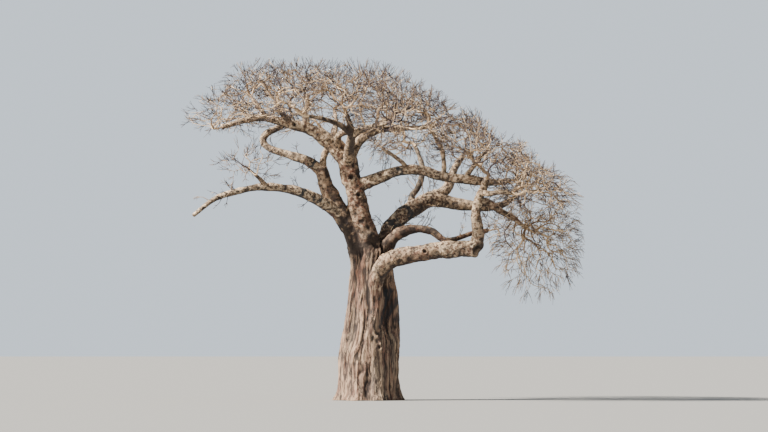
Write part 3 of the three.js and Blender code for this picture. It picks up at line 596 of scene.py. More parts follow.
def bark_of(points, names, with_trunk):
    """Relief, painted shade and tints of every limb near the points, each with the points near it
    and how far those are outside the limb."""
    if with_trunk:
        _, height, outside = round_trunk(points)
        outside = np.maximum(outside, -TRUNK_HOLD) + np.maximum(0, height - trunk_line[-1, 2])
        tint = np.tile((*BARK_TINTS["trunk"], 1), (len(points), 1))
        yield np.arange(len(points)), outside, *trunk_relief(points), tint
    for order, name in enumerate(names):
        limb = limbs[name]
        room = limb["radii"].max() + LIMB_ROOM
        low, high = limb["line"].min(axis=0) - room, limb["line"].max(axis=0) + room
        near = np.flatnonzero(((points > low) & (points < high)).all(axis=1))
        straight, outside, radius = straightened(points[near], limb)
        tint = np.tile((*BARK_TINTS.get(name, PLAIN_TINTS), 0), (len(near), 1))
        share = straight[:, 2] / limb["length"]
        if BOUGHS[name][0] is None:
            root = np.clip(1 - straight[:, 2] / ROOT_RUN, 0, 1)
            outside = outside + ROOT_GIVE * root
            tint = tint + root[:, None] * ((*BARK_TINTS["trunk"], 1) - tint)
        rag = layered_noise(points[near] * BOUGH_RAGS, seed=61, layers=4)
        patchy = lattice_noise(points[near] * BOUGH_PATCHES, seed=67)
        for column, bands in ((0, PALE_BANDS), (2, DARK_BANDS)):
            for middle, reach in bands.get(name, []):
                aside = (share - middle) * limb["length"] + BAND_RAGGED * rag
                tint[:, column] += np.exp(-(aside / (reach * limb["length"]))**2) * (1 + patchy)
        relief, painted_shade = bough_relief(straight, radius, BOUGH_SEED + BOUGH_SEED_STEP * order)
        if name in SHADED:
            middle, reach, depth = SHADED[name]
            uneven = 1 + SHADE_RAGGED * rag + SHADE_PATCHY * patchy
            painted_shade += depth * np.exp(-((share - middle) / reach)**2) * uneven
        yield near, outside, relief, painted_shade, tint


def note(mesh, notes):
    """Notes values on a mesh under their labels, for its material or its nodes to read."""
    for label, values in notes.items():
        attribute = mesh.attributes.new(label, "FLOAT", "POINT")
        attribute.data.foreach_set("value", values.astype(np.float32))


# The rim round a knot hole, and how dark its inside is painted, as painted shade
RIM_HIGH, RIM_AT, RIM_WIDE, PIT_SHADE = 0.3, 1.6, 0.5, 1.5
# The foot is cut flat and its relief fades out above the cut, and what is sunk in is painted darker, as
# painted shade
FLAT_SHARE, FOOT_FADE, SUNK_ROUNDS, SUNK_SHADE = 0.6, 0.3, 70, 0.028
# How the hollow's painted shade and the red stain on the trunk change its tints; the stain is painted
# darker too, as painted shade
STAIN_DULLS, STAIN_RED, STAIN_SHADE, HOLLOW_SHADE_BLACK, HOLLOW_SHADE_DARK = 0.6, 0.5, 0.6, 0.6, 0.4
# A bough's bark is painted darker below and on the side away from the key light, as painted shade, and
# paler on the side towards it, as painted light
SHADE_SIDE, SIDE_SHADE_POWER, SIDE_SHADE_DARK, SIDE_SHADE_RED = unit(np.array((0.75, 0.0, -0.66))), 1.5, 0.75, 0.85
UNDER_SHADE_FROM, UNDER_SHADE_FULL, SUN_SIDE_LIGHT, TRUNK_SPARED = 0.68, 0.92, 0.6, 0.8


def clothe(piece, names, with_trunk):
    """Presses the bark's relief into a skin, and notes its painted shade and tints on it. What
    lies under the skin drawn smooth, as forks and folds do, is painted darker, as painted shade.
    Undersides, the side away from the key light and the trunk's hollow are painted darker too,
    and the side towards the light paler, as painted light."""
    points = read_points(piece)
    count = len(points)
    found = list(bark_of(points, names, with_trunk))
    nearest = np.full(count, np.inf)
    for near, outside, *_ in found:
        nearest[near] = np.minimum(nearest[near], outside)
    sums, weights = np.zeros((count, 6)), np.full(count, 1e-6)
    for near, outside, relief, painted_shade, tint in found:
        weight = np.exp(-((outside - nearest[near]) / FORK_BLEND)**2)
        sums[near] += weight[:, None] * np.column_stack([relief, painted_shade, tint])
        weights[near] += weight
    heights, painted_shades, *tints = (sums / weights[:, None]).T
    for place, reach, depth in PITS:
        apart = np.linalg.norm(points - place, axis=1) / reach
        hole = np.exp(-apart**4)
        heights += depth * (RIM_HIGH * np.exp(-((apart - RIM_AT) / RIM_WIDE)**2) - hole)
        painted_shades += PIT_SHADE * hole
    normals = normals_of(piece)
    if with_trunk:
        normals[:, 2] *= np.clip(points[:, 2] / FOOT_FADE, 0, 1)
    moved = points + normals * heights[:, None]
    if with_trunk:
        moved[points[:, 2] < FLAT_SHARE * TRUNK_GRAIN, 2] = 0
        moved[:, 2] = np.maximum(moved[:, 2], 0)
    write_points(piece, moved)
    facing = normals_of(piece)
    # Painted shade in forks, folds and other hollows of the skin
    sunk = ((smoothed(piece, moved, SUNK_ROUNDS) - moved) * facing).sum(axis=1)
    painted_shades += np.clip(sunk, 0, None) / SUNK_SHADE
    pale, red, soot_and_shade, fibrous = tints
    if with_trunk:
        # Painted shade in the trunk's hollow, blue-black and streaked, and the red stain under the fork,
        # painted darker too as painted shade
        hollow_shade, stained = trunk_shade_and_stains(points) * fibrous
        pale *= (1 - np.clip(hollow_shade, 0, 1)) * (1 - STAIN_DULLS * np.clip(stained, 0, 1))
        red += STAIN_RED * stained
        soot_and_shade += HOLLOW_SHADE_BLACK * hollow_shade
        painted_shades += HOLLOW_SHADE_DARK * hollow_shade + STAIN_SHADE * stained
    # Painted shade on the side away from the key light and on undersides, and painted light on the side
    # towards it
    side_shade = np.clip(facing @ SHADE_SIDE, 0, 1)**SIDE_SHADE_POWER * (SIDE_SHADE_DARK + SIDE_SHADE_RED * np.clip(red, 0, 1))
    under = ramp(-facing[:, 2], UNDER_SHADE_FROM, UNDER_SHADE_FULL)
    painted_shades += (side_shade + under) * (1 - TRUNK_SPARED * fibrous)
    pale += SUN_SIDE_LIGHT * np.clip(-facing @ SHADE_SIDE, 0, 1) * (1 - fibrous)
    notes = {"painted_shade": painted_shades, "pale": pale, "red": red, "soot_and_shade": soot_and_shade, "fibrous": fibrous}
    note(piece.data, {label: np.clip(values, 0, 1) for label, values in notes.items()})


def wood(name, skins, names, grain, rounds, with_trunk=False):
    """One body of wood: its skins grown together, drawn smooth and covered with bark."""
    piece = grown_together(name, skins, grain)
    points = smoothed(piece, read_points(piece), rounds)
    if with_trunk:
        points[points[:, 2] < FLAT_SHARE * grain, 2] = 0
    write_points(piece, points)
    clothe(piece, names, with_trunk)
    piece.data.shade_smooth()
    return piece


def level_part(whole, name, low, high):
    """A copy of the part of a closed piece between two heights, with its cuts closed."""
    piece = stand(name, whole.data.copy())
    piece.data.name = name
    mesh = bmesh.new()
    mesh.from_mesh(piece.data)
    for height, keep_above in ((low, True), (high, False)):
        if height is None:
            continue
        cut = bmesh.ops.bisect_plane(mesh, geom=mesh.verts[:] + mesh.edges[:] + mesh.faces[:],
                                     plane_co=(0, 0, height), plane_no=(0, 0, 1), dist=1e-5,
                                     clear_inner=keep_above, clear_outer=not keep_above)
        rim = [edge for edge in cut["geom_cut"] if isinstance(edge, bmesh.types.BMEdge)]
        rim = [edge for edge in rim if edge.is_boundary]
        for edge in rim:
            edge.smooth = False
        filled = bmesh.ops.holes_fill(mesh, edges=rim, sides=0)
        bmesh.ops.triangulate(mesh, faces=filled["faces"])
    mesh.to_mesh(piece.data)
    mesh.free()
    piece.data.update()
    return piece


def new_node(nodes, kind, settings):
    """A new node with its settings, which come before the values of its sockets."""
    node = nodes.new(kind)
    for key, setting in (settings or {}).items():
        setattr(node, key, setting)
    return node


class Value:
    """A shader value that can be worked with in plain arithmetic."""

    def __init__(self, finish, socket):
        self.finish, self.socket = finish, socket

    def join(self, operation, first, second):
        return self.finish.add("ShaderNodeMath", {"operation": operation}, {0: first, 1: second})

    def __add__(self, other):
        return self.join("ADD", self, other)

    def __radd__(self, other):
        return self.join("ADD", other, self)

    def __sub__(self, other):
        return self.join("SUBTRACT", self, other)

    def __rsub__(self, other):
        return self.join("SUBTRACT", other, self)

    def __mul__(self, other):
        return self.join("MULTIPLY", self, other)

    def __rmul__(self, other):
        return self.join("MULTIPLY", other, self)


class Finish:
    """A material and the one way in which nodes are added to it."""

    def __init__(self, name):
        self.material = bpy.data.materials.new(name)
        self.material.use_nodes = True
        self.nodes = self.material.node_tree.nodes
        self.links = self.material.node_tree.links
        self.shader = self.nodes["Principled BSDF"]

    def add(self, kind, settings=None, inputs=None, output=0):
        node = new_node(self.nodes, kind, settings)
        sockets = {socket.identifier: socket for socket in node.inputs}
        for key, value in (inputs or {}).items():
            self.set(sockets.get(key) or node.inputs[key], value)
        return Value(self, node.outputs[output])

    def set(self, socket, value):
        if isinstance(value, Value):
            self.links.new(value.socket, socket)
        else:
            socket.default_value = value

    def noted(self, label):
        """What was noted on the mesh under a label."""
        return self.add("ShaderNodeAttribute", {"attribute_name": label}, output=2)

    def noise(self, place, scale, detail, shift):
        place = self.add("ShaderNodeVectorMath", {"operation": "ADD"}, {0: place, 1: shift})
        return self.add("ShaderNodeTexNoise", inputs={"Vector": place, "Scale": scale, "Detail": detail,
                                                      "Roughness": GRAIN_ROUGH})

    def mix(self, share, first, second):
        return self.add("ShaderNodeMix", {"data_type": "RGBA", "clamp_factor": True},
                        {"Factor_Float": share, "A_Color": first, "B_Color": second}, 2)

    def step(self, value, low, high):
        return self.add("ShaderNodeMapRange", {"interpolation_type": "SMOOTHSTEP"},
                        {"Value": value, "From Min": low, "From Max": high})

    def shade(self, **sockets):
        for key, value in sockets.items():
            self.set(self.shader.inputs[key.replace("_", " ")], value)
        return self.material


# The bark's patterns are measured from the fork, and drawn out upward where it is fibrous
FORK_HEIGHT, FIBRE_STRETCH, GRAIN_ROUGH = 6.6, 0.17, 0.7
# Where each pattern begins to show and where it shows in full
SHOWS = {"mottle": (0.45, 0.55), "blotch": (0.34, 0.58), "chalk": (0.46, 0.55),
         "fleck": (0.52, 0.575), "soot_and_shade": (0.3, 0.7)}
BUMP_MOTTLE, BUMP_STRENGTH, BUMP_HIGH, BARK_ROUGH, FLECK_ROUGH = 0.8, 0.7, 0.05, 0.8, 0.18
# How much of the bark's own colour each of these hides
RED_COVERS, FLECK_COVERS, PAINTED_SHADE_COVERS, SOOT_AND_SHADE_COVERS = 0.85, 0.88, 0.92, 0.9
# Colours of the bark; the darkest is painted shade, and the blue-black is both the boughs' own patches and
# painted shade in the trunk's hollow
BARK = {
    "tan": (0.42, 0.29, 0.18, 1), "brown": (0.1, 0.067, 0.047, 1), "cream": (0.86, 0.66, 0.45, 1),
    "fleck": (0.03, 0.021, 0.017, 1), "red": (0.2, 0.075, 0.042, 1), "soot_and_shade": (0.022, 0.027, 0.033, 1),
    "painted_shade": (0.02, 0.013, 0.011, 1), "plum": (0.115, 0.078, 0.06, 1),
    "dust": (0.32, 0.222, 0.148, 1),
}


def bark(name):
    """Bark that is mottled on boughs and drawn out into upright fibres on the trunk."""
    finish = Finish(name)
    place = finish.add("ShaderNodeTexCoord", output=3)
    place = finish.add("ShaderNodeVectorMath", {"operation": "SUBTRACT"},
                       {0: place, 1: (0, 0, FORK_HEIGHT)})
    drawn = finish.add("ShaderNodeVectorMath", {"operation": "MULTIPLY"},
                       {0: place, 1: (1, 1, FIBRE_STRETCH)})
    fibrous = finish.noted("fibrous")

    def pattern(scale, detail, shift):
        upright = finish.noise(drawn, scale, detail, shift)
        return finish.noise(place, scale, detail, shift) * (1 - fibrous) + upright * fibrous

    mottle = pattern(scale=4.2, detail=9, shift=(0, 0, 0))
    blotch = pattern(scale=1.5, detail=6, shift=(7, 1, 4))
    fleck = pattern(scale=8, detail=7, shift=(3, 9, 2))
    chalk = pattern(scale=7.5, detail=8, shift=(5, 2, 8))
    ground = finish.mix(fibrous, BARK["brown"], BARK["plum"])
    pale_ground = finish.mix(fibrous, BARK["tan"], BARK["dust"])
    colour = finish.mix(finish.step(mottle, *SHOWS["mottle"]), ground, pale_ground)
    red = finish.step(blotch, *SHOWS["blotch"]) * finish.noted("red")
    colour = finish.mix(red * RED_COVERS, colour, BARK["red"])
    cream = finish.step(chalk, *SHOWS["chalk"]) * finish.noted("pale")
    colour = finish.mix(cream, colour, BARK["cream"])
    flecks = finish.step(fleck, *SHOWS["fleck"])
    colour = finish.mix(flecks * FLECK_COVERS, colour, BARK["fleck"])
    # Painted shade: near-black mixed in where grooves, hollows, forks and undersides lie in shade, and on
    # the side away from the key light
    colour = finish.mix(finish.noted("painted_shade") * PAINTED_SHADE_COVERS, colour, BARK["painted_shade"])
    # The boughs' own blue-black patches and bands, and painted shade in the trunk's hollow
    soot_and_shade = finish.step(finish.noted("soot_and_shade") + (mottle + fleck - 1), *SHOWS["soot_and_shade"])
    colour = finish.mix(soot_and_shade * SOOT_AND_SHADE_COVERS, colour, BARK["soot_and_shade"])
    height = pattern(scale=9, detail=9, shift=(1, 6, 3)) + mottle * BUMP_MOTTLE
    bump = finish.add("ShaderNodeBump", inputs={"Height": height, "Strength": BUMP_STRENGTH,
                                                "Distance": BUMP_HIGH})
    rough = BARK_ROUGH + fleck * FLECK_ROUGH
    return finish.shade(Base_Color=colour, Roughness=rough, Normal=bump)


bough_bark = bark("bough bark")
skins = [trunk_skin(), tube_through(*BROKEN_END)] + [ridge(*row) for row in RIDGES]
skins += [limb_tube(limbs[name]) for name in FORKED]
skins += [foot_stub(limbs[name]) for name, row in BOUGHS.items()
          if row[0] in FORKED and name not in FORKED]
tree_wood = wood("tree_wood", skins, FORKED, TRUNK_GRAIN, FORK_ROUNDS, with_trunk=True)
parts = [("trunk_with_foot", None, TRUNK_CUT, ["trunk"], "trunk_bark"),
         ("fork_of_the_trunk", TRUNK_CUT, BOUGH_CUT, ["trunk"] + FORKED, "bough_bark"),
         ("main_boughs", BOUGH_CUT, None, FORKED, "bough_bark")]
for name, low, high, nodes, slot in parts:
    part = level_part(tree_wood, name, low, high)
    part.data.materials.append(bark("trunk bark") if slot == "trunk_bark" else bough_bark)
    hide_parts(*nodes)
    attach(part, "root")
bpy.data.objects.remove(tree_wood)

# Limbs of the crown
# The real limbs leave the main boughs and carry the twigs. They are as wrinkled as the
# boughs and thinner, so their skin is made in smaller squares, in a left and a right group.
LIMB_GRAIN, LIMB_ROUNDS = 0.0235, 2
LEFT_LIMBS = ["left_low_bough", "left_low_riser", "left_hook_lower", "left_hook_upper",
              "left_thin_limb", "top_left_riser", "high_left_riser", "front_left_riser",
              "back_left_limb", "front_limb", "front_left_limb", "front_right_limb",
              "pale_cross_limb"]
RIGHT_LIMBS = [name for name in BOUGHS if name not in LEFT_LIMBS + FORKED]
for group, names in (("left_limbs", LEFT_LIMBS), ("right_limbs", RIGHT_LIMBS)):
    limb_wood = wood(group, [limb_tube(limbs[name]) for name in names], names, LIMB_GRAIN, LIMB_ROUNDS)
    limb_wood.data.materials.append(bough_bark)
    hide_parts(*names)
    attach(limb_wood, "root")

# Twigs of the crown
# Each mass of twigs is the fine end of one limb. It leaves the limb's tip and outer part and
# forks on until it fills its own space, and bare fingers stand out of its edge. It is wood
# in thin bark, pale where the sun bleached it and dark at the tips, and its cream and dark
# brown twigs stand partly for twigs in sunlight and in shade, as painted light and painted shade.

# Each mass: the limb that it stands on, its middle and its half size
TWIG_MASSES = {
    "far_left_twigs": ("top_left_bough", (-7.0, -1.6, 12.55), (1.5, 1.7, 1.2)),
    "left_top_twigs": ("top_left_riser", (-5.6, -0.7, 13.8), (1.7, 1.5, 1.25)),
    "left_back_twigs": ("back_left_limb", (-6.1, 2.4, 12.9), (1.9, 1.9, 1.4)),
    "left_front_twigs": ("front_left_riser", (-4.6, -3.6, 13.0), (2.0, 1.8, 1.4)),
    "high_left_twigs": ("high_left_riser", (-2.9, -0.6, 14.05), (1.8, 1.8, 1.35)),
    "hook_twigs": ("left_hook_upper", (-3.7, 2.5, 13.5), (1.9, 1.7, 1.4)),
    "high_back_twigs": ("left_thin_limb", (-1.2, 3.0, 13.7), (1.7, 1.7, 1.3)),
    "rear_left_twigs": ("rear_bough", (-2.4, 5.6, 12.2), (2.3, 1.8, 1.5)),
    "rear_right_twigs": ("dark_upright_limb", (1.5, 5.5, 12.1), (2.2, 1.9, 1.5)),
    "far_rear_twigs": ("rear_riser", (4.8, 4.3, 11.4), (2.0, 1.9, 1.4)),
    "right_back_twigs": ("rear_low_limb", (7.1, 3.5, 9.6), (1.9, 1.9, 1.6)),
    "right_end_twigs": ("right_middle_bough", (7.4, 0.5, 10.0), (1.7, 1.7, 1.5)),
    "right_outer_twigs": ("right_outer_limb", (7.2, -3.0, 9.2), (1.8, 1.9, 1.6)),
    "right_front_twigs": ("right_upright_bough", (4.9, -3.3, 10.7), (2.1, 2.1, 1.5)),
    "outer_top_twigs": ("outer_riser", (5.2, -0.9, 11.6), (1.7, 1.6, 1.2)),
    "right_top_twigs": ("top_right_outer", (3.7, 1.4, 12.5), (1.9, 1.9, 1.2)),
    "middle_top_twigs": ("middle_riser", (2.6, -1.9, 12.5), (1.7, 1.6, 1.2)),
    "centre_top_twigs": ("top_right_limb", (1.0, 0.9, 13.6), (1.9, 1.8, 1.3)),
    "centre_front_twigs": ("pale_cross_limb", (-0.2, -2.0, 13.4), (1.7, 1.5, 1.35)),
    "front_top_twigs": ("front_limb", (-1.5, -4.4, 13.0), (1.7, 1.8, 1.4)),
    "front_left_twigs": ("front_left_limb", (-3.6, -5.8, 12.2), (1.9, 1.6, 1.5)),
    "front_right_twigs": ("front_right_limb", (1.4, -4.9, 12.1), (2.0, 1.8, 1.5)),
    "middle_spur_twigs": ("middle_spur", (0.75, -1.35, 11.0), (0.9, 0.9, 0.7)),
    "low_left_twigs": ("left_low_riser", (-5.3, -2.4, 10.2), (1.4, 1.3, 0.9)),
    "hanging_twigs": ("right_hanging_limb", (7.4, -0.5, 6.7), (2.0, 2.0, 2.2)),
    "low_right_twigs": ("dipping_bough", (5.7, -0.1, 7.3), (0.9, 1.0, 0.8)),
}
# Height of the crown's flat top from left to right, which falls away to the front and the back
CROWN_TOP = np.array([
    (-8.3, 12.7), (-7.45, 13.4), (-6.7, 13.85), (-6.3, 14.2), (-6.0, 14.65), (-5.6, 14.9),
    (-4.8, 15.05), (-3.5, 15.2), (-0.5, 15.0), (1.2, 14.6), (2.9, 13.55), (3.7, 12.95), (4.6, 12.75),
    (5.4, 11.95), (6.4, 11.65), (7.2, 10.8), (8.1, 10.4), (8.7, 9.7), (9.3, 8.9)])
CROWN_FALL = 0.045
# Height of the open underside of the crown, except round the low masses
CROWN_FLOOR = np.array([
    (-8.3, 12.1), (-7.0, 11.9), (-5.5, 12.1), (-1.5, 12.3), (-0.6, 11.8), (0.3, 10.9),
    (3.5, 10.7), (4.6, 9.9), (5.6, 8.3), (6.5, 4.0), (9.2, 4.0)])
LOW_MASSES = ("low_left_twigs", "hanging_twigs", "low_right_twigs")
# Goals for the twigs to grow to: how many for a mass's size and of how many tries, how far out
# they gather, and how sparse they are low in a mass
GOALS_PER_SPACE, TRIES, SEED_STEP, OUTWARD = 46, 3, 160, 0.3
LOW_SHARE, LOW_TURN, LOW_FADE = 0.22, 0.15, 1.2
# Room kept to the mass's edge, the tree's sides and top, the next mass and the boughs
EDGE_ROOM, SIDE_ROOM, TOP_ROOM, CELL_ROOM, BOUGH_ROOM = 0.05, 0.4, 0.3, -0.15, 0.03
# A stem grows out of the limb's tip, where it is sunk in, and twigs fork on from the nearest knot
STEM, SUNK, SUNK_WAY, FOOT_WAY, WAY_SHARE, CHOICES, EASE = 0.3, 0.12, 9, 0.5, 0.15, 3, 0.3
# Openings seen through the crown from the front: place, half width and half height
SKY_HOLES = [
    (-4.8, 13.1, 0.6, 0.45), (-2.0, 13.05, 0.8, 0.42), (-1.95, 12.3, 0.6, 0.35),
    (-3.4, 13.1, 0.5, 0.4), (-5.7, 13.7, 0.4, 0.35), (-6.5, 12.9, 0.4, 0.3), (-4.0, 13.9, 0.4, 0.25),
    (-7.3, 12.7, 0.3, 0.25), (-1.0, 13.9, 0.35, 0.25), (-5.2, 12.6, 0.35, 0.2),
    (-0.15, 12.4, 0.35, 0.35), (-0.1, 13.4, 0.4, 0.3), (2.0, 12.1, 0.5, 0.35), (4.0, 11.3, 0.4, 0.35),
    (6.0, 9.9, 0.45, 0.35), (7.3, 8.5, 0.45, 0.4), (5.2, 10.1, 0.35, 0.35),
]
HOLE_OPEN = 0.97
# A twig's radius by what it carries, and from which radius it has more sides
THINNEST, THICKENING, HEAVY_FROM = 0.0085, 0.41, 0.022
# Twigs may pass the solids' box by this share of it
REACH_SHARE = 0.02
# How much more closely, or less, the twigs of some masses stand
CLOSER = {"hanging_twigs": 1.5, "low_right_twigs": 1.3, "far_left_twigs": 0.7, "left_top_twigs": 0.75,
          "high_left_twigs": 0.8, "left_front_twigs": 0.75, "left_back_twigs": 0.75, "hook_twigs": 0.85}
# The share of a mass's twigs that the sun has bleached a step paler
BLEACHED = {"hanging_twigs": 0.7, "low_right_twigs": 0.6, "right_outer_twigs": 0.4,
            "right_end_twigs": 0.4, "right_front_twigs": 0.25}
# How steeply the twigs of some masses turn up or, below zero, down
DROOPING = {"hanging_twigs": -0.75, "low_right_twigs": -0.1, "right_outer_twigs": 0.0}
limb_points = np.vstack([limb["line"] for limb in limbs.values()])
limb_radii = np.concatenate([limb["radii"] for limb in limbs.values()])
low_limit, high_limit = (np.array(corner) for corner in cad_box)
spare = (high_limit - low_limit) * REACH_SHARE
low_limit, high_limit = low_limit - spare, high_limit + spare


def scatter(index, base):
    """Numbers of an even, repeatable scatter from 0 to 1."""
    rest, share, values = index.copy(), 1.0, np.zeros(len(index))
    while rest.any():
        share /= base
        values += share * (rest % base)
        rest //= base
    return values


def space_of(name):
    """The middle and the half size of a mass's own space."""
    return np.array(TWIG_MASSES[name][1:])


def crown_top(points):
    """Height of the crown's top above or below each point."""
    return np.interp(points[:, 0], *CROWN_TOP.T) - CROWN_FALL * points[:, 1]**2


def room_in(name, points):
    """How far inside its mass's own space each point is."""
    def away(mass):
        return ((points - mass[1])**2).sum(axis=1) - mass[2][0] * mass[2][2]

    here = TWIG_MASSES[name]
    middle, half = space_of(name)
    room = (1 - np.linalg.norm((points - middle) / half, axis=1)) * half.min() - EDGE_ROOM
    room = np.minimum(room, crown_top(points) - points[:, 2] - TOP_ROOM)
    sides = np.minimum(points - low_limit, high_limit - points).min(axis=1)
    room = np.minimum(room, sides - SIDE_ROOM)
    if name not in LOW_MASSES:
        room = np.minimum(room, points[:, 2] - np.interp(points[:, 0], *CROWN_FLOOR.T))
    for other in TWIG_MASSES.values():
        if other is not here:
            gap = np.linalg.norm(middle - other[1])
            room = np.minimum(room, (away(other) - away(here)) / (2 * gap) - CELL_ROOM)
    return room


def clear_of_limbs(points):
    """Which points are outside every bough and limb."""
    apart = np.linalg.norm(points[:, None] - limb_points, axis=2) - limb_radii
    return apart.min(axis=1) > BOUGH_ROOM


def goals_of(name, order):
    """Places in a mass for its twigs to grow to, open where the sky shows through."""
    middle, half = space_of(name)
    wanted = round(GOALS_PER_SPACE * CLOSER.get(name, 1) * half.prod())
    index = np.arange(order * SEED_STEP + 1, order * SEED_STEP + 1 + TRIES * wanted)
    out, level = scatter(index, 2)**OUTWARD, scatter(index, 3) * 2 - 1
    turn = scatter(index, 5) * 2 * np.pi
    flat = np.sqrt(1 - level**2)
    ways = np.stack([flat * np.cos(turn), flat * np.sin(turn), level], axis=1)
    goals = middle + half * out[:, None] * ways
    height = (goals[:, 2] - middle[2]) / half[2]
    risen = np.clip(0.5 + (height + LOW_TURN) / LOW_FADE, 0, 1)
    thinned = LOW_SHARE + (1 - LOW_SHARE) * risen
    for x, z, wide, high in SKY_HOLES:
        apart = ((goals[:, 0] - x) / wide)**2 + ((goals[:, 2] - z) / high)**2
        thinned *= 1 - HOLE_OPEN * np.exp(-apart**2)
    goals = goals[(room_in(name, goals) > 0) & (scatter(index, 7) < thinned)]
    return goals[clear_of_limbs(goals)][:wanted]


def grow(name, order):
    """Knots of a mass and the knot each one grew from, nearest to the stem first."""
    limb = limbs[TWIG_MASSES[name][0]]
    line, ahead = limb["line"], limb["frames"][0][-1]
    stem_end = line[-1] + ahead * STEM
    feet = line[len(line) // 2:-2:2]
    goals = goals_of(name, order)
    goals = goals[np.argsort(np.linalg.norm(goals - stem_end, axis=1))]
    first = len(feet) + 2
    knots = np.vstack([feet, line[-1] - ahead * SUNK, stem_end, np.zeros_like(goals)])
    way = np.zeros(len(knots))
    way[:len(feet)] = FOOT_WAY * np.linalg.norm(feet - line[-1], axis=1)
    way[first - 2:first] = SUNK_WAY, STEM
    parent = np.full(len(knots), -1)
    parent[first - 1] = first - 2
    count = first
    for goal in goals:
        apart = np.linalg.norm(knots[:count] - goal, axis=1)
        best = np.argsort(apart + WAY_SHARE * way[:count])[:CHOICES]
        middles = (knots[best] + goal) / 2
        fits = room_in(name, middles) > CELL_ROOM
        if fits.any():
            chosen = best[np.argmax(fits)]
            knots[count], parent[count] = goal, chosen
            way[count] = way[chosen] + apart[chosen]
            count += 1
    return knots[:count], parent[:count], first


def eased(knots, parent, heir, first):
    """Knots drawn a little towards the middle of the twig that runs through them."""
    moved = knots.copy()
    through = np.flatnonzero((heir >= 0) & (np.arange(len(knots)) >= first))
    middle = (knots[parent[through]] + knots[heir[through]]) / 2
    moved[through] = knots[through] * (1 - EASE) + middle * EASE
    return moved


def branching(name, order):
    """The branches of a mass as lines with their radii, and for every knot its last bend,
    its place, the way it was grown and whether nothing grows on from it."""
    knots, parent, first = grow(name, order)
    count = len(knots)
    load = np.ones(count)
    for index in range(count - 1, first - 2, -1):
        if parent[index] >= 0:
            load[parent[index]] += load[index]
    heir = np.full(count, -1)
    for index in range(first - 1, count):
        held_by = parent[index]
        if held_by >= first - 1 and (heir[held_by] < 0 or load[index] > load[heir[held_by]]):
            heir[held_by] = index
    knots = eased(knots, parent, heir, first)
    grown = np.flatnonzero(parent >= 0)
    start, end = knots[parent[grown]], knots[grown]
    grand = parent[parent[grown]]
    before = np.where((grand >= 0)[:, None], knots[grand], 2 * start - end)
    after = np.where((heir[grown] >= 0)[:, None], knots[heir[grown]], 2 * end - start)
    bends = np.zeros_like(knots)
    bends[grown] = (9 * (start + end) - before - after) / 16
    widest = limbs[TWIG_MASSES[name][0]]["radii"][-1]
    radii = np.minimum(THINNEST * load**THICKENING, widest)
    runs = []
    for index in grown:
        held_by = parent[index]
        if held_by >= 0 and heir[held_by] == index:
            continue
        line, girth, knot = [knots[held_by]], [radii[index]], index
        while knot >= 0:
            line += [bends[knot], knots[knot]]
            girth += [radii[knot], radii[knot]]
            knot = heir[knot]
        runs.append((np.array(line), np.array(girth)))
    ways = unit(knots[grown] - bends[grown])
    return runs, bends[grown], knots[grown], ways, heir[grown] < 0


# Odds of the four tints, from cream to dark brown
BRANCH_TINTS, SPUR_TINTS = (0.34, 0.32, 0.24, 0.1), (0.14, 0.22, 0.34, 0.3)
TIP_TINTS = (0.04, 0.14, 0.45, 0.37)
# Spurs along the branches and fingers at their tips: length, radii, how much they follow the
# branch, point outward and stray, and the odds and size of their forks
SPUR = {"length": (0.14, 0.36), "girth": (0.0095, 0.008, 0.005), "tints": SPUR_TINTS,
        "ahead": 0.5, "outward": 0.35, "stray": 0.6, "forked": 0.4, "fork_size": 0.6}
FINGER = {"length": (0.35, 0.75), "girth": (0.0115, 0.01, 0.006), "tints": TIP_TINTS,
          "ahead": 0.6, "outward": 0.8, "stray": 0.3, "forked": 0.8, "fork_size": 0.8}
SPURS_PER_METRE, FINGERS, JOINT_STRAY, FORK_STRAY = 6.0, 3, 0.2, 0.55
# Twigs may rise a little over the crown's top before they are bent back, and high ones turn up
TIP_RISE, OVER_BENT = 0.15, 0.7
LIFT, LIFT_BY_HEIGHT, LIFT_RANGE = 0.35, 0.45, (-0.25, 0.9)


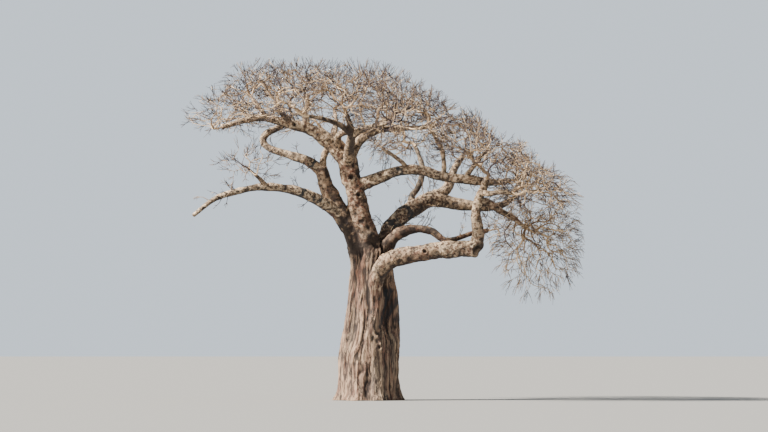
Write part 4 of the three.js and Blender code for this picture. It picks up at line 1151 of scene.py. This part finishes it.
class TwigWork:
    """The lines of a mass of twigs, each with its girths and its tint."""

    def __init__(self, seed, bleached=0.0):
        self.chance = np.random.default_rng(seed)
        self.bleached = bleached
        self.lines, self.girths, self.tints = [], [], []

    def tinted(self, count, odds):
        """A tint for each of some lines, one step paler where the sun bleached it."""
        tints = self.chance.choice(4, count, p=odds)
        return np.maximum(tints - (self.chance.random(count) < self.bleached), 0)

    def branches(self, runs):
        """Adds the branches, each with its radii."""
        self.lines.extend(line for line, _ in runs)
        self.girths.extend(girth for _, girth in runs)
        self.tints.extend(self.tinted(len(runs), BRANCH_TINTS))

    def shoots(self, bases, aims, kind, lifts, share=1.0):
        """Adds short twigs of two joints, which turn up or down by their lifts. What would
        pass the tree's own reach is bent back in."""
        lengths = self.chance.uniform(*kind["length"], (len(bases), 1)) * share / 2
        ways = unit(aims)
        middle = bases + ways * lengths
        stray = self.chance.normal(0, JOINT_STRAY, bases.shape)
        turned = unit(ways + lifts[:, None] * (0, 0, 1) + stray)
        made = np.stack([bases, middle, middle + turned * lengths], axis=1)
        made += 2 * (np.clip(made, low_limit, high_limit) - made)
        over = made[..., 2] - TIP_RISE - crown_top(made.reshape(-1, 3)).reshape(-1, 3)
        made[..., 2] -= np.maximum(over, 0) * OVER_BENT
        self.lines.extend(made)
        self.girths.extend([np.array(kind["girth"])] * len(made))
        self.tints.extend(self.tinted(len(made), kind["tints"]))
        return made

    def forked_shoots(self, bases, aims, kind, lifts):
        """Adds shoots that stray from their aims, and a spur at the joint of some of them."""
        aims = aims + self.chance.normal(0, kind["stray"], aims.shape)
        made = self.shoots(bases, aims, kind, lifts)
        forked = np.flatnonzero(self.chance.random(len(made)) < kind["forked"])
        ways = unit(made[forked, 1] - made[forked, 0])
        aims = ways + self.chance.normal(0, FORK_STRAY, ways.shape)
        self.shoots(made[forked, 1], aims, SPUR, lifts[forked], kind["fork_size"])

    def mesh(self, name):
        return line_mesh(name, self.lines, self.girths, np.array(self.tints))


def twig_work(name, order):
    """A whole mass: its branches, the spurs along them and the fingers at their tips."""
    work = TwigWork(order, BLEACHED.get(name, 0))
    runs, bends, ends, ways, last = branching(name, order)
    middle, half = space_of(name)
    lifts = np.clip(LIFT + LIFT_BY_HEIGHT * (ends[:, 2] - middle[2]) / half[2], *LIFT_RANGE)
    lifts = np.full(len(ends), DROOPING[name]) if name in DROOPING else lifts
    outward = unit(ends - middle)
    work.branches(runs)
    rolls = work.chance.poisson(2 * np.linalg.norm(ends - bends, axis=1) * SPURS_PER_METRE)
    at = np.repeat(np.arange(len(ends)), rolls)
    share = np.maximum(work.chance.uniform(-1, 1, (len(at), 1)), 0)
    aims = SPUR["ahead"] * ways[at] + SPUR["outward"] * outward[at]
    work.forked_shoots(bends[at] + (ends - bends)[at] * share, aims, SPUR, lifts[at])
    at = np.repeat(np.flatnonzero(last), FINGERS)
    aims = FINGER["ahead"] * ways[at] + FINGER["outward"] * outward[at]
    work.forked_shoots(ends[at], aims, FINGER, lifts[at])
    return work


def line_mesh(name, lines, girths, tints):
    """A mesh of bare edges, one chain for each line."""
    lengths = np.array([len(line) for line in lines])
    ends = np.cumsum(lengths)
    here = np.setdiff1d(np.arange(ends[-1]), ends - 1)
    mesh = bpy.data.meshes.new(name)
    mesh.vertices.add(int(ends[-1]))
    mesh.vertices.foreach_set("co", np.vstack(lines).astype(np.float32).ravel())
    mesh.edges.add(len(here))
    mesh.edges.foreach_set("vertices", np.stack([here, here + 1], axis=1).astype(np.int32).ravel())
    heavy = np.array([girth[0] > HEAVY_FROM for girth in girths])
    note(mesh, {"girth": np.concatenate(girths), "tint": np.repeat(tints, lengths),
                "heavy": np.repeat(heavy, lengths)})
    return stand(name, mesh)


class Steps:
    """A tree of geometry nodes and the one way in which nodes are added to it."""

    def __init__(self, name, inputs):
        self.tree = bpy.data.node_groups.new(name, "GeometryNodeTree")
        self.keys = {}
        self.tree.interface.new_socket("Geometry", in_out="INPUT", socket_type="NodeSocketGeometry")
        self.tree.interface.new_socket("Geometry", in_out="OUTPUT", socket_type="NodeSocketGeometry")
        for label, kind in inputs.items():
            socket = self.tree.interface.new_socket(label, in_out="INPUT", socket_type=kind)
            self.keys[label] = socket.identifier
        self.given = self.tree.nodes.new("NodeGroupInput").outputs

    def add(self, kind, settings=None, output=0, **inputs):
        node = new_node(self.tree.nodes, kind, settings)
        for key, value in inputs.items():
            for one in value if isinstance(value, list) else [value]:
                socket = node.inputs[key.replace("_", " ")]
                if isinstance(one, bpy.types.NodeSocket):
                    self.tree.links.new(one, socket)
                else:
                    socket.default_value = one
        return node.outputs[output]

    def end(self, geometry):
        self.tree.links.new(geometry, self.tree.nodes.new("NodeGroupOutput").inputs[0])

    def run(self, piece, values):
        modifier = piece.modifiers.new(self.tree.name, "NODES")
        modifier.node_group = self.tree
        for label, value in values.items():
            modifier[self.keys[label]] = value
        return baked(piece)


# Twig colours; cream stands partly for sunlit twigs, as painted light, and dark brown partly for shaded
# twigs, as painted shade
TWIG_TINTS = {"cream": (0.7, 0.51, 0.32, 1), "tan": (0.3, 0.2, 0.115, 1),
              "grey brown": (0.09, 0.066, 0.066, 1), "dark brown": (0.022, 0.016, 0.018, 1)}
twig_steps = Steps("twig_skins", {"Thin Sides": "NodeSocketInt", "Heavy Sides": "NodeSocketInt",
                                  **{tint: "NodeSocketMaterial" for tint in TWIG_TINTS}})


def noted_number(label):
    """What was noted on the twigs' lines under a label."""
    return twig_steps.add("GeometryNodeInputNamedAttribute", {"data_type": "FLOAT"}, Name=label)


twig_curve = twig_steps.add("GeometryNodeMeshToCurve", Mesh=twig_steps.given["Geometry"])
is_heavy = twig_steps.add("FunctionNodeCompare", {"operation": "GREATER_THAN"},
                          A=noted_number("heavy"), B=0.5)
parted = [twig_steps.add("GeometryNodeSeparateGeometry", {"domain": "CURVE"}, side,
                         Geometry=twig_curve, Selection=is_heavy) for side in (0, 1)]
twig_skins = []
for part, sides in zip(parted, ("Heavy Sides", "Thin Sides")):
    ring = twig_steps.add("GeometryNodeCurvePrimitiveCircle", Resolution=twig_steps.given[sides],
                          Radius=1.0)
    twig_skins.append(twig_steps.add("GeometryNodeCurveToMesh", Curve=part, Profile_Curve=ring,
                                     Scale=noted_number("girth"), Fill_Caps=True))
twig_skin = twig_steps.add("GeometryNodeJoinGeometry", Geometry=twig_skins)
twig_skin = twig_steps.add("GeometryNodeSetShadeSmooth", Geometry=twig_skin)
twig_skin = twig_steps.add("GeometryNodeRealizeInstances", Geometry=twig_skin)
for order, tint in enumerate(TWIG_TINTS):
    is_tint = twig_steps.add("FunctionNodeCompare", {"operation": "GREATER_THAN"},
                             A=noted_number("tint"), B=order - 0.5)
    twig_skin = twig_steps.add("GeometryNodeSetMaterial", Geometry=twig_skin, Selection=is_tint,
                               Material=twig_steps.given[tint])
twig_steps.end(twig_skin)

twig_values = {"Thin Sides": 3, "Heavy Sides": 6}
for tint, colour in TWIG_TINTS.items():
    twig_values[tint] = Finish(tint + " twigs").shade(Base_Color=colour, Roughness=0.85)
for order, name in enumerate(TWIG_MASSES):
    lines = twig_work(name, order).mesh(name.replace("_twigs", "_fine_twigs"))
    twigs = twig_steps.run(lines, twig_values)
    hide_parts(name)
    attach(twigs, "root")

# Sprouts on the bare boughs
# Small forked twigs of thin dark wood stand on the boughs below the crown. Each is rooted in the
# bark by itself, at any place round the bough, and bears a few spurs on its outer half.
SPROUTS = {
    "right_rear_bough": 26, "right_middle_bough": 18, "dipping_bough": 14, "left_low_bough": 14,
    "left_hook_lower": 7, "top_left_bough": 22, "left_bough": 5, "rear_bough": 10,
    "rear_low_limb": 12, "right_upright_bough": 6, "centre_bough": 5, "right_hanging_limb": 8,
    "dark_upright_limb": 9,
}
SPROUT = {"length": (0.3, 0.65), "girth": (0.021, 0.015, 0.009), "tints": TIP_TINTS}
# Spurs on each, where on the bough they start, how deep they are rooted and which way they turn
SPROUT_SPURS, SPROUT_FROM, SPROUT_SUNK, SPROUT_AHEAD, SPROUT_LIFTS = 5, 0.15, 0.9, 0.5, (-0.3, 0.6)


def sprout_work():
    """All sprouts, bough by bough."""
    work = TwigWork(len(TWIG_MASSES))
    for name, count in SPROUTS.items():
        limb = limbs[name]
        at = work.chance.integers(int(len(limb["line"]) * SPROUT_FROM), len(limb["line"]) - 1, count)
        turn = work.chance.uniform(0, 2 * np.pi, (count, 1))
        ahead, across, above = (part[at] for part in limb["frames"])
        outward = across * np.cos(turn) + above * np.sin(turn)
        bases = limb["line"][at] + outward * limb["radii"][at, None] * SPROUT_SUNK
        lifts = work.chance.uniform(*SPROUT_LIFTS, count)
        made = work.shoots(bases, outward + SPROUT_AHEAD * ahead, SPROUT, lifts)
        outer = made[:, 2] - made[:, 1]
        for _ in range(SPROUT_SPURS):
            share = work.chance.uniform(0, 1, (count, 1))
            work.forked_shoots(made[:, 1] + outer * share, unit(outer), SPUR, lifts)
    return work


sprouts = twig_steps.run(sprout_work().mesh("sprouts_on_boughs"), twig_values)
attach(sprouts, "root")

# Floor, light and camera
# A plain pale floor under the tree, a warm soft key light high on the left of the camera, an even
# pale wall all round, and a far camera low above the ground with a long lens.
FLOOR_REACH, FLOOR_COLOUR = 400, (0.26, 0.26, 0.255, 1)
KEY_WAY, KEY_POWER, KEY_WIDTH, KEY_COLOUR = Vector((1.0, 0.32, -0.95)), 16.0, 5, (1.0, 0.93, 0.83)
SKY_LIGHT, SKY_COLOUR, WALL_PALER = 0.45, (0.8, 0.9, 1.0, 1), 0.6
EYE, AIM, LENS, SENSOR = Vector((0.528, -150, 2.64)), Vector((0.528, 0, 8.1)), 159.8, 36
FARTHEST = 2000

floor = mesh_object("pale_floor", [(-FLOOR_REACH, -FLOOR_REACH, 0), (FLOOR_REACH, -FLOOR_REACH, 0),
                                   (FLOOR_REACH, FLOOR_REACH, 0), (-FLOOR_REACH, FLOOR_REACH, 0)],
                    [(0, 1, 2, 3)])
floor.data.materials.append(Finish("pale floor").shade(Base_Color=FLOOR_COLOUR, Roughness=0.9))

key = bpy.data.lights.new("key", "SUN")
key.energy, key.angle, key.color = KEY_POWER, math.radians(KEY_WIDTH), KEY_COLOUR
stand("key", key).rotation_euler = KEY_WAY.to_track_quat("-Z", "Y").to_euler()
world = bpy.data.worlds.new("studio")
world.use_nodes = True
world.node_tree.nodes["Background"].inputs["Color"].default_value = SKY_COLOUR
# The wall behind the tree looks paler than the light that it gives
seen = world.node_tree.nodes.new("ShaderNodeLightPath")
wall = new_node(world.node_tree.nodes, "ShaderNodeMath", {"operation": "MULTIPLY_ADD"})
world.node_tree.links.new(seen.outputs["Is Camera Ray"], wall.inputs[0])
wall.inputs[1].default_value, wall.inputs[2].default_value = WALL_PALER, SKY_LIGHT
world.node_tree.links.new(wall.outputs[0], world.node_tree.nodes["Background"].inputs["Strength"])
bpy.context.scene.world = world

camera = stand("camera", bpy.data.cameras.new("camera"))
camera.location = EYE
camera.rotation_euler = (AIM - EYE).to_track_quat("-Z", "Y").to_euler()
camera.data.lens, camera.data.sensor_width, camera.data.clip_end = LENS, SENSOR, FARTHEST
bpy.context.scene.camera = camera
